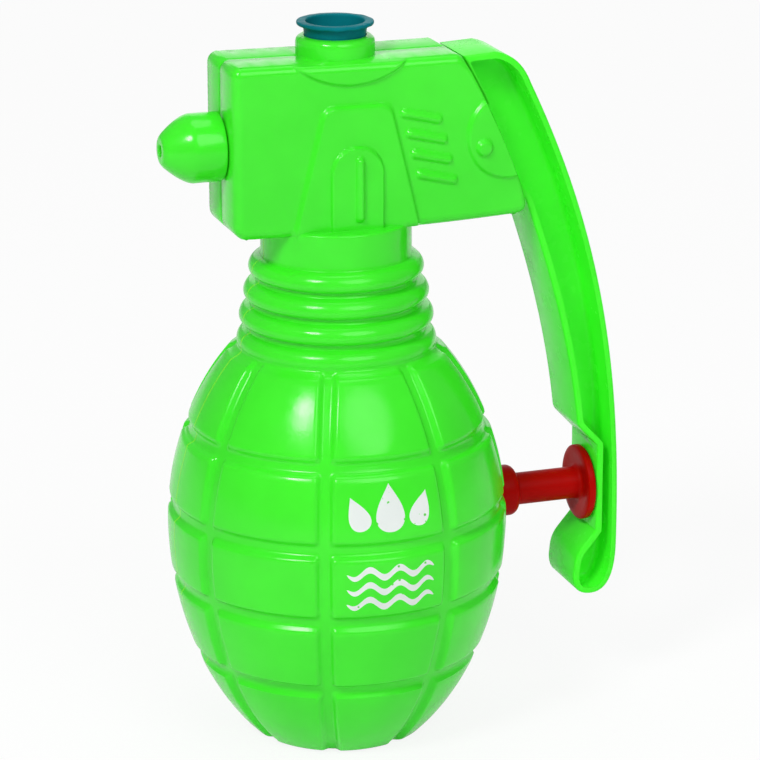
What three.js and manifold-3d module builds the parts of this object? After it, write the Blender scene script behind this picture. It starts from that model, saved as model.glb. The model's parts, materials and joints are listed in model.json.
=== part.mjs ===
// A squeeze-lever water squirter, in millimetres.
// The nozzle points to -X, the lever is at +X and +Z is up.
// The origin is the middle of the flat base, on the axis of the egg.
import * as THREE from "three";
import { mergeVertices } from "three/addons/utils/BufferGeometryUtils.js";
import Module from "manifold-3d";

const wasm = await Module();
wasm.setup();

// Fits between pieces
const clearance = 0.3;
const seamGap = 0.3;

// Egg: two half-ellipses on one axis, cut flat at the base
const eggRadius = 40;
const eggMiddle = 51.5;
const eggLowerReach = 57.9;
const eggUpperReach = 54.3;
const eggFullness = 1.9;
const eggTop = 93.2;
const eggWall = 2.6;
const baseRound = 0.8;

// Grooves that divide the egg into panels
const grooveWidth = 3.2;
const grooveDepth = 1.2;
const grooveBevel = 0.7;
const ringGrooveHeights = [21.4, 39.2, 56.6, 76];
const meridianGrooveCount = 8;

// Ringed neck
const beadCount = 4;
const beadPitch = 5.8;
const topBeadRadius = 19.8;
const beadRadiusStep = 1.4;
const beadSwell = 2.2;
const beadGap = 1.2;
const neckRadius = 17.4;
const neckLength = 7.6;
const neckWall = 1.8;

// Head: a flat-sided box with a slanted, slightly bowed rear edge
const headWidth = 21.4;
const headHeight = 38;
const headFrontReach = 27.4;
const headTopReach = 27.3;
const headBottomReach = 42.7;
const headRearCorner = 3.2;
const headRearBow = 1.8;
const headFrontLowRound = 3.2;
const headFrontTopRound = 2.4;
const headEdgeRound = 1.6;
const headWall = 1.8;
const bulkheadReach = 22;
const bulkheadWall = 2;
const pocketFloorReach = 36;

// Ornament on the head's sides, placed from the egg's axis and the head's top or bottom
const panelFootFront = -13.2;
const panelFootRear = 16.4;
const panelTopFront = -6.1;
const panelTopRear = 9.5;
const panelDrop = 10.7;
const panelCorner = 2.4;
const panelRise = 1;
const panelGap = 0.15;
const archMiddle = 1.7;
const archHalf = 5.9;
const archSpring = 12.4;
const archRise = 1.9;
const archGap = 0.3;
const ribOffset = 0.4;
const ribHalf = 1.05;
const ribLow = 2.8;
const ribHigh = 14.9;
const ribRise = 2.8;
const ornamentBevel = 0.5;
const crescentRadius = 18;
const crescentDrop = 6.6;
const sideDiscRadius = 10;
const sideDiscReach = 37.9;
const sideDiscHeight = 19.2;
const reliefRise = 0.7;
const reliefBevel = 0.3;
const ventCount = 4;
const ventReach = 12.8;
const ventDrop = 12.1;
const ventStepReach = 1.23;
const ventStepDrop = 4.73;
const ventLength = 8;
const ventFall = 1.9;
const ventHalf = 0.9;
const ventRise = 0.9;
const ventBevel = 0.4;

// Filler neck and its stopper
const fillerRadius = 9;
const fillerHeight = 4.4;
const fillerBore = 7.15;
const fillerRound = 1.8;
const plugFlangeRadius = 8.5;
const plugFlangeThickness = 1.2;
const plugExposed = 2.4;
const plugTipRadius = 6.2;
const plugDepth = 9;
const plugWall = 0.9;
const plugEdge = 0.5;

// Nozzle
const nozzleRadius = 7.9;
const nozzleRise = 19;
const nozzleStraight = 6.6;
const nozzleTaper = 7.1;
const nozzleTipRadius = 3.3;
const nozzleOgive = 1.5;
const orificeRadius = 1.3;
const orificeDepth = 3.6;
const nozzleSpigotRadius = 6;
const nozzleFlangeRadius = 7.6;
const nozzleFlangeThickness = 1.5;
const nozzleSealThickness = 1.4;

// Lever and its pin
const pivotReach = 31.7;
const pivotRise = 16.7;
const pinRadius = 2;
const pinEndWall = 0.5;
const pivotBump = 1.4;
const pivotBumpRadius = 2.1;
const pivotBossRadius = 3.6;
const pivotBossLength = 0.75;
const leverWidth = 15.5;
const leverRim = 1.6;
const leverWeb = 2;
const leverBossRadius = 5;
const leverBelowTop = 0.2;
const leverStop = 1.2;
const leverFollow = 12.1;
const leverCrown = 0.6;
const leverCrownReach = 7;
const leverShoulderReach = 15.7;
const leverShoulderDrop = 7.8;
const leverHookReach = 57;
const leverDepth = 11.7;
const leverTail = 25.9;
const leverBackEnd = 13;
const leverTuck = 0.6;
const leverToe = 4.7;
const leverToeRise = 5;
const leverInnerBow = 3;
const leverNeckReach = 0.8;
const leverNeckRise = 2.5;

// Plunger and pump, on one axis along X
const pumpHeight = 53;
const rodRadius = 3.85;
const discRadius = 9;
const discThickness = 2;
const pocketDepth = 5.6;
const pocketHalfLength = 11;
const pocketRise = 1.75;
const pocketLip = 0.5;
const pocketLowSlope = 6;
const pocketHighSlope = 5.2;
const pocketLowRound = 4;
const pocketHighRound = 2;
const pistonRadius = 4.6;
const pistonLength = 4.5;
const pistonFront = 20;
const pistonNoseRadius = 2.5;
const pistonNoseLength = 3;
const pistonRingThickness = 1.8;
const pistonRingGroove = 1.2;
const barrelBore = 5;
const barrelWall = 1.4;
const barrelFront = -4;
const barrelFlangeRadius = 8;
const barrelFlangeThickness = 2;
const barrelSetBack = 1;
const barrelNeckRadius = 5.2;
const barrelNeckLength = 5.1;
const cradleReach = 4;
const cradleThickness = 2.4;
const cradleHalfHeight = 6;

// Gland on the rod
const glandRadius = 6.1;
const glandLength = 4.2;
const glandEndWall = 1.6;
const glandRound = 1.9;
const glandEdge = 0.3;
const glandSealThickness = 1.2;

// Return spring
const springMeanRadius = 3.6;
const springWire = 0.8;
const springTurns = 7;

// Valve chest, check valves and hoses
const chestReach = -11;
const chestCupWall = 1.7;
const chestCupDepth = 6;
const chestTubeRadius = 5.2;
const chestBore = 3.4;
const chestPort = 2.4;
const chestBelow = 12;
const chestAbove = 15;
const chestFront = 5;
const valveSeatHole = 1.2;
const valveSeatWall = 1.6;
const valveSeatRise = 4;
const valveBallRadius = 2.2;
const valveStopDrop = 1.4;
const valveStopThickness = 1.2;
const valveLift = 1.3;
const valveGap = 0.2;
const hoseOuter = 2.5;
const hoseBore = 1.6;
const tailRadius = 1.3;
const tailBore = 0.8;
const tailLength = 6.2;
const tailFlange = 1.5;
const tailSpigot = 5.2;
const seatCone = 1;
const hoseRiseReach = -7;
const hoseBend = 9.5;
const strainerRadius = 4.6;
const strainerHeight = 9;
const strainerSeatDepth = 4.3;
const strainerSlot = 1.4;
const strainerSlotHeight = 3;

// Fineness of the facets
const bodySides = 36;
const turnedSides = 18;
const smallSides = 14;
const hoseSides = 8;

// Places that follow from the sizes above
const beadTop = eggTop + beadCount * beadPitch;
const headBottom = beadTop + neckLength;
const headTop = headBottom + headHeight;
const headHalf = headWidth / 2;
const headInner = headHalf - headWall;
const nozzleHeight = headBottom + nozzleRise;
const pivotHeight = headBottom + pivotRise;
const fillerTop = headTop + fillerHeight;
const leverHalf = leverWidth / 2;
const leverTop = headTop - leverBelowTop;
const leverReach = leverHookReach + leverDepth;
const pocketWallReach = leverHookReach + pocketDepth;
const barrelOuter = barrelBore + barrelWall;
const barrelRear = eggRadius - eggWall - clearance - barrelSetBack;
const glandFront = eggRadius + clearance;
const far = 200;

// Closed solids from geometry, facing outwards
function solid(geometry) {
  const bare = geometry.index ? geometry.toNonIndexed() : geometry.clone();
  bare.deleteAttribute("normal");
  bare.deleteAttribute("uv");
  const merged = mergeVertices(bare, 1e-4);
  const corners = merged.attributes.position;
  const index = merged.index.array;
  const a = new THREE.Vector3();
  const b = new THREE.Vector3();
  const c = new THREE.Vector3();
  const faces = [];
  let volume = 0;
  for (let i = 0; i < index.length; i += 3) {
    const [p, q, r] = [index[i], index[i + 1], index[i + 2]];
    if (p === q || q === r || r === p) continue;
    a.fromBufferAttribute(corners, p);
    b.fromBufferAttribute(corners, q);
    c.fromBufferAttribute(corners, r);
    volume += a.dot(b.cross(c));
    faces.push(p, q, r);
  }
  if (volume < 0) faces.reverse();
  const mesh = new wasm.Mesh({
    numProp: 3,
    vertProperties: new Float32Array(corners.array),
    triVerts: new Uint32Array(faces),
  });
  mesh.merge();
  return new wasm.Manifold(mesh);
}

// A shape turned about the vertical line at x, from [radius, height] pairs
function turned(profile, sides, x = 0) {
  const points = profile.map(([radius, height]) => new THREE.Vector2(radius, height));
  return solid(new THREE.LatheGeometry(points, sides).rotateX(Math.PI / 2).translate(x, 0, 0));
}

// A shape turned about a line along X at height z, from [x, radius] pairs
function turnedAlongX(profile, sides, z) {
  const points = profile.map(([x, radius]) => new THREE.Vector2(radius, x));
  return solid(new THREE.LatheGeometry(points, sides).rotateZ(-Math.PI / 2).translate(0, 0, z));
}

// A ring's profile returns to its first point
function ring(profile) {
  return [...profile, profile[0]];
}

function rodAlongX(radius, fromX, toX, z, sides = turnedSides) {
  return turnedAlongX([[fromX, 0], [fromX, radius], [toX, radius], [toX, 0]], sides, z);
}

function rodUpright(radius, fromZ, toZ, x = 0, sides = turnedSides) {
  return turned([[0, fromZ], [radius, fromZ], [radius, toZ], [0, toZ]], sides, x);
}

function rodAcross(radius, fromY, toY, x, z, sides = smallSides) {
  const length = toY - fromY;
  const rod = new THREE.CylinderGeometry(radius, radius, length, sides);
  return solid(rod.translate(x, (fromY + toY) / 2, z));
}

function block([x0, y0, z0], [x1, y1, z1]) {
  const box = new THREE.BoxGeometry(x1 - x0, y1 - y0, z1 - z0);
  return solid(box.translate((x0 + x1) / 2, (y0 + y1) / 2, (z0 + z1) / 2));
}

// A side-view shape (x, z) made into a slab from y0 to y1, with optional bevelled rims
function slab(shape, y0, y1, bevel = 0, curveSegments = 5) {
  const settings = {
    depth: y1 - y0 - 2 * bevel,
    curveSegments,
    bevelEnabled: bevel > 0,
    bevelThickness: bevel,
    bevelSize: bevel,
    bevelOffset: -bevel,
    bevelSegments: bevel > 1 ? 2 : 1,
  };
  const geometry = new THREE.ExtrudeGeometry(shape, settings);
  return solid(geometry.rotateX(Math.PI / 2).translate(0, y1 - bevel, 0));
}

function outline(points) {
  return new THREE.Shape(points.map(([x, z]) => new THREE.Vector2(x, z)));
}

// A hose along a curve, with its bore
function hose(curve, steps) {
  const wall = new THREE.Shape().absarc(0, 0, hoseOuter, 0, 2 * Math.PI);
  wall.holes.push(new THREE.Path().absarc(0, 0, hoseBore, 0, 2 * Math.PI, true));
  const settings = { steps, extrudePath: curve, curveSegments: hoseSides / 2, bevelEnabled: false };
  return solid(new THREE.ExtrudeGeometry(wall, settings));
}

function spread(from, to, steps) {
  return Array.from({ length: steps + 1 }, (_, i) => from + ((to - from) * i) / steps);
}

// Radius of the egg's skin at a height
function eggSkin(height) {
  const reach = height < eggMiddle ? eggLowerReach : eggUpperReach;
  const rise = (height - eggMiddle) / reach;
  return eggRadius * Math.sqrt(1 - Math.abs(rise) ** eggFullness);
}

// Radius of the valley under a bead, counted from the lowest one
function beadValley(index) {
  const radius = topBeadRadius + (beadCount - 0.5 - index) * beadRadiusStep;
  return index === beadCount ? neckRadius : radius - beadSwell;
}

function bodyProfile() {
  const panelSteps = 2;
  const beadSteps = 4;
  const profile = [[0, baseRound]];
  let from = baseRound;
  for (const middle of ringGrooveHeights) {
    const lip = grooveWidth / 2;
    const floor = lip - grooveBevel;
    for (const z of spread(from, middle - lip, panelSteps)) profile.push([eggSkin(z), z]);
    profile.push([eggSkin(middle - floor) - grooveDepth, middle - floor]);
    profile.push([eggSkin(middle + floor) - grooveDepth, middle + floor]);
    from = middle + lip;
  }
  for (const z of spread(from, eggTop, panelSteps)) profile.push([eggSkin(z), z]);
  for (let bead = 0; bead < beadCount; bead += 1) {
    for (let step = 0; step <= beadSteps; step += 1) {
      const turn = (Math.PI * step) / beadSteps;
      const along = (1 - (1 - beadGap / beadPitch) * Math.cos(turn)) / 2;
      const base = THREE.MathUtils.lerp(beadValley(bead), beadValley(bead + 1), along);
      profile.push([base + beadSwell * Math.sin(turn), eggTop + (bead + along) * beadPitch]);
    }
  }
  const core = headHalf - headWall;
  profile.push([neckRadius, beadTop], [neckRadius, headBottom]);
  profile.push([core, headBottom], [core, headBottom + headWall], [0, headBottom + headWall]);
  return profile;
}

// The flat base has one straight side for each panel, so that it stands without rocking
function foot() {
  const radius = eggSkin(0);
  const top = 2 * baseRound;
  const profile = [[0, 0], [radius - baseRound, 0], [radius, baseRound], [radius, top], [0, top]];
  return turned(profile, meridianGrooveCount);
}

// A plate in one meridian plane that cuts a groove into the egg's skin
function meridianCutter(angle) {
  const margin = 4;
  const skin = spread(-1, eggTop - clearance, 10).map((z) => {
    const depth = grooveDepth - grooveBevel;
    return [eggSkin(Math.max(z, 0)) - depth, z];
  });
  const outer = eggRadius + margin;
  const shape = outline([...skin, [outer, eggTop - clearance], [outer, -1]]);
  const settings = {
    depth: grooveWidth - 2 * grooveBevel,
    bevelEnabled: true,
    bevelThickness: grooveBevel,
    bevelSize: grooveBevel,
    bevelSegments: 1,
  };
  const plate = new THREE.ExtrudeGeometry(shape, settings);
  plate.translate(0, 0, -settings.depth / 2).rotateX(Math.PI / 2).rotateZ(angle);
  return solid(plate);
}

function headOutline() {
  const front = -headFrontReach;
  const rearTop = new THREE.Vector2(headTopReach, headTop);
  const rearLow = new THREE.Vector2(headBottomReach, headBottom + headRearCorner);
  const chord = rearTop.clone().sub(rearLow).normalize();
  const bow = rearTop.clone().add(rearLow).multiplyScalar(0.5);
  bow.add(new THREE.Vector2(chord.y, -chord.x).multiplyScalar(headRearBow));
  const shape = new THREE.Shape();
  shape.moveTo(front + headFrontLowRound, headBottom);
  shape.lineTo(headBottomReach - headRearCorner, headBottom);
  shape.quadraticCurveTo(headBottomReach + headWall / 2, headBottom, rearLow.x, rearLow.y);
  shape.quadraticCurveTo(bow.x, bow.y, rearTop.x, rearTop.y);
  shape.lineTo(front + headFrontTopRound, headTop);
  shape.quadraticCurveTo(front, headTop, front, headTop - headFrontTopRound);
  shape.lineTo(front, headBottom + headFrontLowRound);
  shape.quadraticCurveTo(front, headBottom, front + headFrontLowRound, headBottom);
  return shape;
}

// A raised shape on both sides of the head
function raised(shape, height, bevel, curveSegments = 3) {
  const top = headHalf + height;
  const base = headHalf - headWall / 2;
  const near = slab(shape, -top, -base, bevel, curveSegments);
  return near.add(slab(shape, base, top, bevel, curveSegments));
}

// The tapered panel that stands on the head's bottom edge
function panelOutline() {
  const low = headBottom + panelGap;
  const top = headTop - panelDrop;
  const share = panelCorner / (top - low);
  const cornerFront = THREE.MathUtils.lerp(panelTopFront, panelFootFront, share);
  const cornerRear = THREE.MathUtils.lerp(panelTopRear, panelFootRear, share);
  const shape = new THREE.Shape();
  shape.moveTo(panelFootFront, low);
  shape.lineTo(cornerFront, top - panelCorner);
  shape.quadraticCurveTo(panelTopFront, top, panelTopFront + panelCorner, top);
  shape.lineTo(panelTopRear - panelCorner, top);
  shape.quadraticCurveTo(panelTopRear, top, cornerRear, top - panelCorner);
  shape.lineTo(panelFootRear, low);
  return shape;
}

function archOutline() {
  const low = headBottom + archGap;
  const shape = new THREE.Shape();
  shape.moveTo(archMiddle + archHalf, low);
  shape.absarc(archMiddle, headBottom + archSpring, archHalf, 0, Math.PI);
  shape.lineTo(archMiddle - archHalf, low);
  return shape;
}

function ribOutline() {
  const x = archMiddle + ribOffset;
  const shape = new THREE.Shape();
  shape.absarc(x, headBottom + ribHigh, ribHalf, 0, Math.PI);
  shape.absarc(x, headBottom + ribLow, ribHalf, Math.PI, 2 * Math.PI);
  return shape;
}

function circleOutline(x, z, radius) {
  return new THREE.Shape().absarc(x, z, radius, 0, 2 * Math.PI);
}

// One of the slanted, round-ended vent bars behind the panel
function ventBar(index) {
  const slope = Math.atan2(ventFall, ventLength);
  const x = ventReach + ventStepReach * index;
  const z = headTop - ventDrop - ventStepDrop * index;
  const quarter = Math.PI / 2;
  const bar = new THREE.Shape();
  bar.absarc(x + ventLength, z - ventFall, ventHalf, -quarter - slope, quarter - slope);
  bar.absarc(x, z, ventHalf, quarter - slope, 3 * quarter - slope);
  return bar;
}

// Ornament on both sides of the head: crescent, tapered panel, arch, rib, vents, disc and pivot bump
function headOrnament() {
  const crescent = circleOutline(0, headTop - crescentDrop + crescentRadius, crescentRadius);
  const disc = circleOutline(sideDiscReach, headBottom + sideDiscHeight, sideDiscRadius);
  const inside = slab(headOutline(), -headWidth, headWidth);
  const rounds = raised(crescent, reliefRise, reliefBevel, 16).add(raised(disc, reliefRise, reliefBevel, 10));
  const pieces = [
    rounds.intersect(inside),
    raised(archOutline(), archRise, ornamentBevel),
    raised(ribOutline(), ribRise, ornamentBevel),
    raised(circleOutline(pivotReach, pivotHeight, pivotBumpRadius), pivotBump, ventBevel),
  ];
  for (let vent = 0; vent < ventCount; vent += 1) pieces.push(raised(ventBar(vent), ventRise, ventBevel));
  return pieces.reduce((whole, piece) => whole.add(piece), raised(panelOutline(), panelRise, ornamentBevel));
}

// The whole outer form of the body before it is hollowed
function bodyForm() {
  let form = turned(bodyProfile(), bodySides);
  for (let groove = 0; groove < meridianGrooveCount; groove += 1) {
    form = form.subtract(meridianCutter(((groove + 0.5) * 2 * Math.PI) / meridianGrooveCount));
  }
  const lip = fillerTop - fillerRound;
  const filler = turned(
    [[0, headTop - headWall], [fillerRadius, headTop - headWall], [fillerRadius, lip],
      [fillerRadius - 0.3 * fillerRound, lip + 0.7 * fillerRound],
      [fillerRadius - fillerRound, fillerTop], [0, fillerTop]],
    turnedSides,
  );
  const head = slab(headOutline(), -headHalf, headHalf, headEdgeRound);
  return form.add(foot()).add(head).add(filler).add(headOrnament());
}

// Space inside the body: tank, neck, head chamber, lever pocket and the holes through the wall
function bodyHollow() {
  const floorRadius = eggSkin(eggWall + baseRound) - eggWall;
  const innerTop = eggTop - beadSwell;
  const throat = beadValley(0) - neckWall;
  const neckInner = neckRadius - neckWall;
  const neckCeiling = headBottom - neckWall;
  const tank = [[0, eggWall], [floorRadius, eggWall]];
  for (const z of spread(eggWall + 2 * baseRound, innerTop, 9)) tank.push([eggSkin(z) - eggWall, z]);
  tank.push([throat, eggTop], [neckInner, beadTop], [neckInner, neckCeiling], [0, neckCeiling]);
  const passage = Math.sqrt(neckInner * neckInner - headInner * headInner) - clearance;
  const chamberFloor = headBottom + headWall;
  const ceiling = headTop - headWall;
  const pocketFront = bulkheadReach + bulkheadWall;
  const spaces = [
    block([-passage, -headInner, neckCeiling - 1], [passage, headInner, chamberFloor + 1]),
    block([headWall - headFrontReach, -headInner, chamberFloor], [bulkheadReach, headInner, ceiling]),
    block([pocketFront, -headInner, chamberFloor], [far, headInner, ceiling]),
    block([pocketFloorReach, -headInner, headBottom - 1], [far, headInner, chamberFloor + 1]),
    rodUpright(fillerBore, ceiling - 1, fillerTop + 1),
    rodAlongX(nozzleSpigotRadius + clearance, -far, headWall + 1 - headFrontReach, nozzleHeight),
    rodAlongX(barrelNeckRadius + clearance, barrelRear, eggRadius + 1, pumpHeight),
  ];
  return spaces.reduce((space, next) => space.add(next), turned(tank, bodySides));
}

// Walls that stand inside the body: pivot bosses and the cradle under the pump barrel
function bodyFittings() {
  const bossFrom = headInner - pivotBossLength;
  const bossTo = headInner + headWall / 2;
  const bosses = rodAcross(pivotBossRadius, bossFrom, bossTo, pivotReach, pivotHeight)
    .add(rodAcross(pivotBossRadius, -bossTo, -bossFrom, pivotReach, pivotHeight));
  const x0 = cradleReach - cradleThickness / 2;
  const z0 = pumpHeight - cradleHalfHeight;
  const z1 = pumpHeight + cradleHalfHeight;
  const rooted = eggRadius - eggWall / 2;
  const arms = block([x0, -far, z0], [x0 + cradleThickness, far, z1]);
  const seat = rodAlongX(barrelOuter + clearance, x0 - 1, x0 + cradleThickness + 1, pumpHeight);
  return bosses.add(arms.intersect(rodUpright(rooted, z0 - 1, z1 + 1)).subtract(seat));
}

function bodyShells() {
  const pinHole = headHalf - pinEndWall + clearance;
  const body = bodyForm()
    .subtract(bodyHollow())
    .add(bodyFittings())
    .subtract(rodAcross(pinRadius + clearance, -pinHole, pinHole, pivotReach, pivotHeight));
  const left = block([-far, -far, -far], [far, -seamGap / 2, far]);
  const right = block([-far, seamGap / 2, -far], [far, far, far]);
  return { left: body.intersect(left), right: body.intersect(right) };
}

function pivotPin() {
  const half = headHalf - pinEndWall;
  return rodAcross(pinRadius, -half, half, pivotReach, pivotHeight);
}

function fillerPlug() {
  const seat = fillerBore - clearance;
  const flangeLow = fillerTop + plugExposed;
  const top = flangeLow + plugFlangeThickness;
  const bottom = fillerTop - plugDepth;
  return turned(
    [[0, bottom], [plugTipRadius - plugEdge, bottom], [plugTipRadius, bottom + plugEdge], [seat, fillerTop],
      [seat, flangeLow], [plugFlangeRadius - plugEdge, flangeLow], [plugFlangeRadius, top - plugEdge],
      [plugFlangeRadius - plugEdge / 2, top], [seat - plugWall, top],
      [plugTipRadius - plugWall, bottom + plugWall], [0, bottom + plugWall]],
    turnedSides,
  );
}

function nozzle() {
  const shoulder = -headFrontReach - clearance;
  const taperStart = shoulder - nozzleStraight;
  const tip = taperStart - nozzleTaper;
  const wallInside = headWall - headFrontReach;
  const flangeFront = wallInside + nozzleSealThickness + 2 * clearance;
  const flangeRear = flangeFront + nozzleFlangeThickness;
  const tailEnd = hoseRiseReach - hoseBend - clearance;
  const ogive = spread(1, 0, 5).map((share) => {
    const radius = nozzleRadius - (nozzleRadius - nozzleTipRadius) * share ** nozzleOgive;
    return [taperStart - nozzleTaper * share, radius];
  });
  const profile = ring([
    [tip, orificeRadius], ...ogive,
    [shoulder, nozzleRadius], [shoulder, nozzleSpigotRadius], [flangeFront, nozzleSpigotRadius],
    [flangeFront, nozzleFlangeRadius], [flangeRear, nozzleFlangeRadius], [flangeRear, tailRadius],
    [tailEnd, tailRadius], [tailEnd, tailBore], [tip + orificeDepth, tailBore],
    [tip + orificeDepth, orificeRadius],
  ]);
  return turnedAlongX(profile, turnedSides, nozzleHeight);
}

function nozzleSeal() {
  const from = headWall - headFrontReach + clearance;
  const inner = nozzleSpigotRadius + clearance;
  return sealRing(from, from + nozzleSealThickness, inner, nozzleFlangeRadius, nozzleHeight);
}

// A soft ring with rounded rims, turned about X
function sealRing(fromX, toX, inner, outer, z) {
  const round = Math.min(toX - fromX, outer - inner) / 4;
  const profile = ring([
    [fromX, inner], [fromX, outer - round], [fromX + round, outer],
    [toX - round, outer], [toX, outer - round], [toX, inner],
  ]);
  return turnedAlongX(profile, turnedSides, z);
}

// Draw on to a corner, rounded by a length along both of its sides
function roundCorner(shape, corner, next, round) {
  const start = shape.currentPoint.clone().sub(corner).setLength(round).add(corner);
  const end = next.clone().sub(corner).setLength(round).add(corner);
  shape.lineTo(start.x, start.y);
  shape.quadraticCurveTo(corner.x, corner.y, end.x, end.y);
}

// The lever's side view: a long bowed back, a stop at the top, the pivot boss, the thrust pocket and a hook
function leverOutline() {
  const { lerp } = THREE.MathUtils;
  const bend = { shoulder: 0.7, back: 0.81, backHigh: 0.35, backLow: 0.65, inner: 0.46 };
  const bossTurn = { from: -0.29 * Math.PI, to: -1.39 * Math.PI };
  const topFront = headTopReach + clearance + leverStop;
  const followShare = leverFollow / (headHeight - headRearCorner);
  const followX = lerp(headTopReach, headBottomReach, followShare) + leverStop;
  const crownX = topFront + leverCrownReach;
  const shoulderX = topFront + leverShoulderReach;
  const shoulderZ = leverTop - leverShoulderDrop;
  const backEnd = pumpHeight - leverBackEnd;
  const bottom = pumpHeight - leverTail;
  const pocketLow = pumpHeight + pocketRise - pocketHalfLength;
  const pocketHigh = pumpHeight + pocketRise + pocketHalfLength;
  const lip = leverHookReach + pocketLip;
  const neckX = headBottomReach + leverNeckReach;
  const neckZ = headBottom + leverNeckRise;
  const upperLip = pocketHigh + pocketHighSlope;
  const shape = new THREE.Shape();
  shape.moveTo(topFront, leverTop - leverCrown);
  shape.lineTo(crownX, leverTop);
  shape.quadraticCurveTo(
    lerp(crownX, shoulderX, bend.shoulder), leverTop - 2 * leverCrown, shoulderX, shoulderZ,
  );
  shape.bezierCurveTo(
    lerp(shoulderX, leverReach, bend.back), lerp(shoulderZ, backEnd, bend.backHigh),
    leverReach, lerp(shoulderZ, backEnd, bend.backLow), leverReach - leverTuck, backEnd,
  );
  shape.quadraticCurveTo(leverReach - leverTuck, bottom, leverHookReach + leverToe, bottom);
  shape.quadraticCurveTo(leverHookReach, bottom, leverHookReach, bottom + leverToeRise);
  const pocketFoot = new THREE.Vector2(pocketWallReach, pocketLow);
  roundCorner(shape, new THREE.Vector2(lip, pocketLow - pocketLowSlope), pocketFoot, pocketLowRound);
  shape.lineTo(pocketFoot.x, pocketFoot.y);
  shape.lineTo(pocketWallReach, pocketHigh);
  const bow = new THREE.Vector2(lip - leverInnerBow, lerp(upperLip, neckZ, bend.inner));
  roundCorner(shape, new THREE.Vector2(lip, upperLip), bow, pocketHighRound);
  shape.quadraticCurveTo(bow.x, bow.y, neckX, neckZ);
  shape.absarc(pivotReach, pivotHeight, leverBossRadius, bossTurn.from, bossTurn.to, true);
  shape.lineTo(followX, headTop - leverFollow);
  return shape;
}

// The same loop of points moved inwards by a distance
function inset(points, distance) {
  const count = points.length;
  return points.map((point, i) => {
    const before = points[(i + count - 1) % count];
    const after = points[(i + 1) % count];
    const incoming = point.clone().sub(before).normalize();
    const outgoing = after.clone().sub(point).normalize();
    const mitre = new THREE.Vector2(-incoming.y - outgoing.y, incoming.x + outgoing.x).normalize();
    const stretch = Math.max(0.5, mitre.dot(new THREE.Vector2(-incoming.y, incoming.x)));
    return point.clone().addScaledVector(mitre, distance / stretch);
  });
}

function lever() {
  const shape = leverOutline();
  let loop = shape.getPoints(5);
  loop = loop.filter((point, i) => point.distanceTo(loop[(i + 1) % loop.length]) > 0.05);
  if (THREE.ShapeUtils.isClockWise(loop)) loop.reverse();
  const recess = new THREE.Shape(inset(loop, leverRim));
  const face = leverHalf + 1;
  const boss = rodAcross(leverBossRadius, -leverHalf, leverHalf, pivotReach, pivotHeight, turnedSides);
  const bore = rodAcross(pinRadius + clearance, -face, face, pivotReach, pivotHeight, turnedSides);
  return slab(new THREE.Shape(loop), -leverHalf, leverHalf)
    .subtract(slab(recess, leverWeb / 2, face))
    .subtract(slab(recess, -face, -leverWeb / 2))
    .add(boss)
    .subtract(bore);
}

function plunger() {
  const discRear = pocketWallReach - clearance;
  const discFront = discRear - discThickness;
  const pistonRear = pistonFront + pistonLength;
  const grooveFront = pistonFront + (pistonLength - pistonRingThickness) / 2 - clearance;
  const grooveRear = grooveFront + pistonRingThickness + 2 * clearance;
  const grooveFloor = pistonRadius - pistonRingGroove;
  const rim = 0.4;
  return turnedAlongX(
    [[pistonFront - pistonNoseLength, 0], [pistonFront - pistonNoseLength, pistonNoseRadius],
      [pistonFront, pistonNoseRadius], [pistonFront, pistonRadius], [grooveFront, pistonRadius],
      [grooveFront, grooveFloor], [grooveRear, grooveFloor], [grooveRear, pistonRadius],
      [pistonRear, pistonRadius], [pistonRear, rodRadius], [discFront, rodRadius],
      [discFront, discRadius - rim], [discFront + rim, discRadius], [discRear - rim, discRadius],
      [discRear, discRadius - rim], [discRear, 0]],
    turnedSides,
    pumpHeight,
  );
}

function pistonRing() {
  const from = pistonFront + (pistonLength - pistonRingThickness) / 2;
  const inner = pistonRadius - pistonRingGroove + clearance;
  return sealRing(from, from + pistonRingThickness, inner, barrelBore - clearance / 2, pumpHeight);
}

function pumpCylinder() {
  const rod = rodRadius + clearance;
  const flangeFront = barrelRear - barrelFlangeThickness;
  const profile = ring([
    [barrelFront, barrelBore], [barrelFront, barrelOuter], [flangeFront, barrelOuter],
    [flangeFront, barrelFlangeRadius], [barrelRear, barrelFlangeRadius], [barrelRear, barrelNeckRadius],
    [barrelRear + barrelNeckLength, barrelNeckRadius], [barrelRear + barrelNeckLength, rod],
    [flangeFront, rod], [flangeFront, barrelBore],
  ]);
  return turnedAlongX(profile, turnedSides, pumpHeight);
}

function glandCap() {
  const rear = glandFront + glandLength;
  const inner = barrelNeckRadius + clearance;
  const rod = rodRadius + clearance;
  const endWall = rear - glandEndWall;
  const crown = spread(0, Math.PI / 2, 3).map((turn) => {
    const edge = glandRadius - glandRound + glandRound * Math.cos(turn);
    return [rear - glandRound + glandRound * Math.sin(turn), edge];
  });
  const profile = ring([
    [glandFront, inner], [glandFront, glandRadius - glandEdge], [glandFront + glandEdge, glandRadius],
    ...crown, [rear, rod], [endWall, rod], [endWall, inner],
  ]);
  return turnedAlongX(profile, turnedSides, pumpHeight);
}

function glandSeal() {
  const to = glandFront + glandLength - glandEndWall - clearance;
  return sealRing(to - glandSealThickness, to, rodRadius + clearance, barrelNeckRadius, pumpHeight);
}

// The return spring: one wire wound along X between the valve chest and the piston
class Helix extends THREE.Curve {
  constructor(from, to, radius, turns, z) {
    super();
    Object.assign(this, { from, to, radius, turns, z });
  }

  getPoint(t, target = new THREE.Vector3()) {
    const turn = 2 * Math.PI * this.turns * t;
    const x = THREE.MathUtils.lerp(this.from, this.to, t);
    return target.set(x, this.radius * Math.cos(turn), this.z + this.radius * Math.sin(turn));
  }
}

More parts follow.
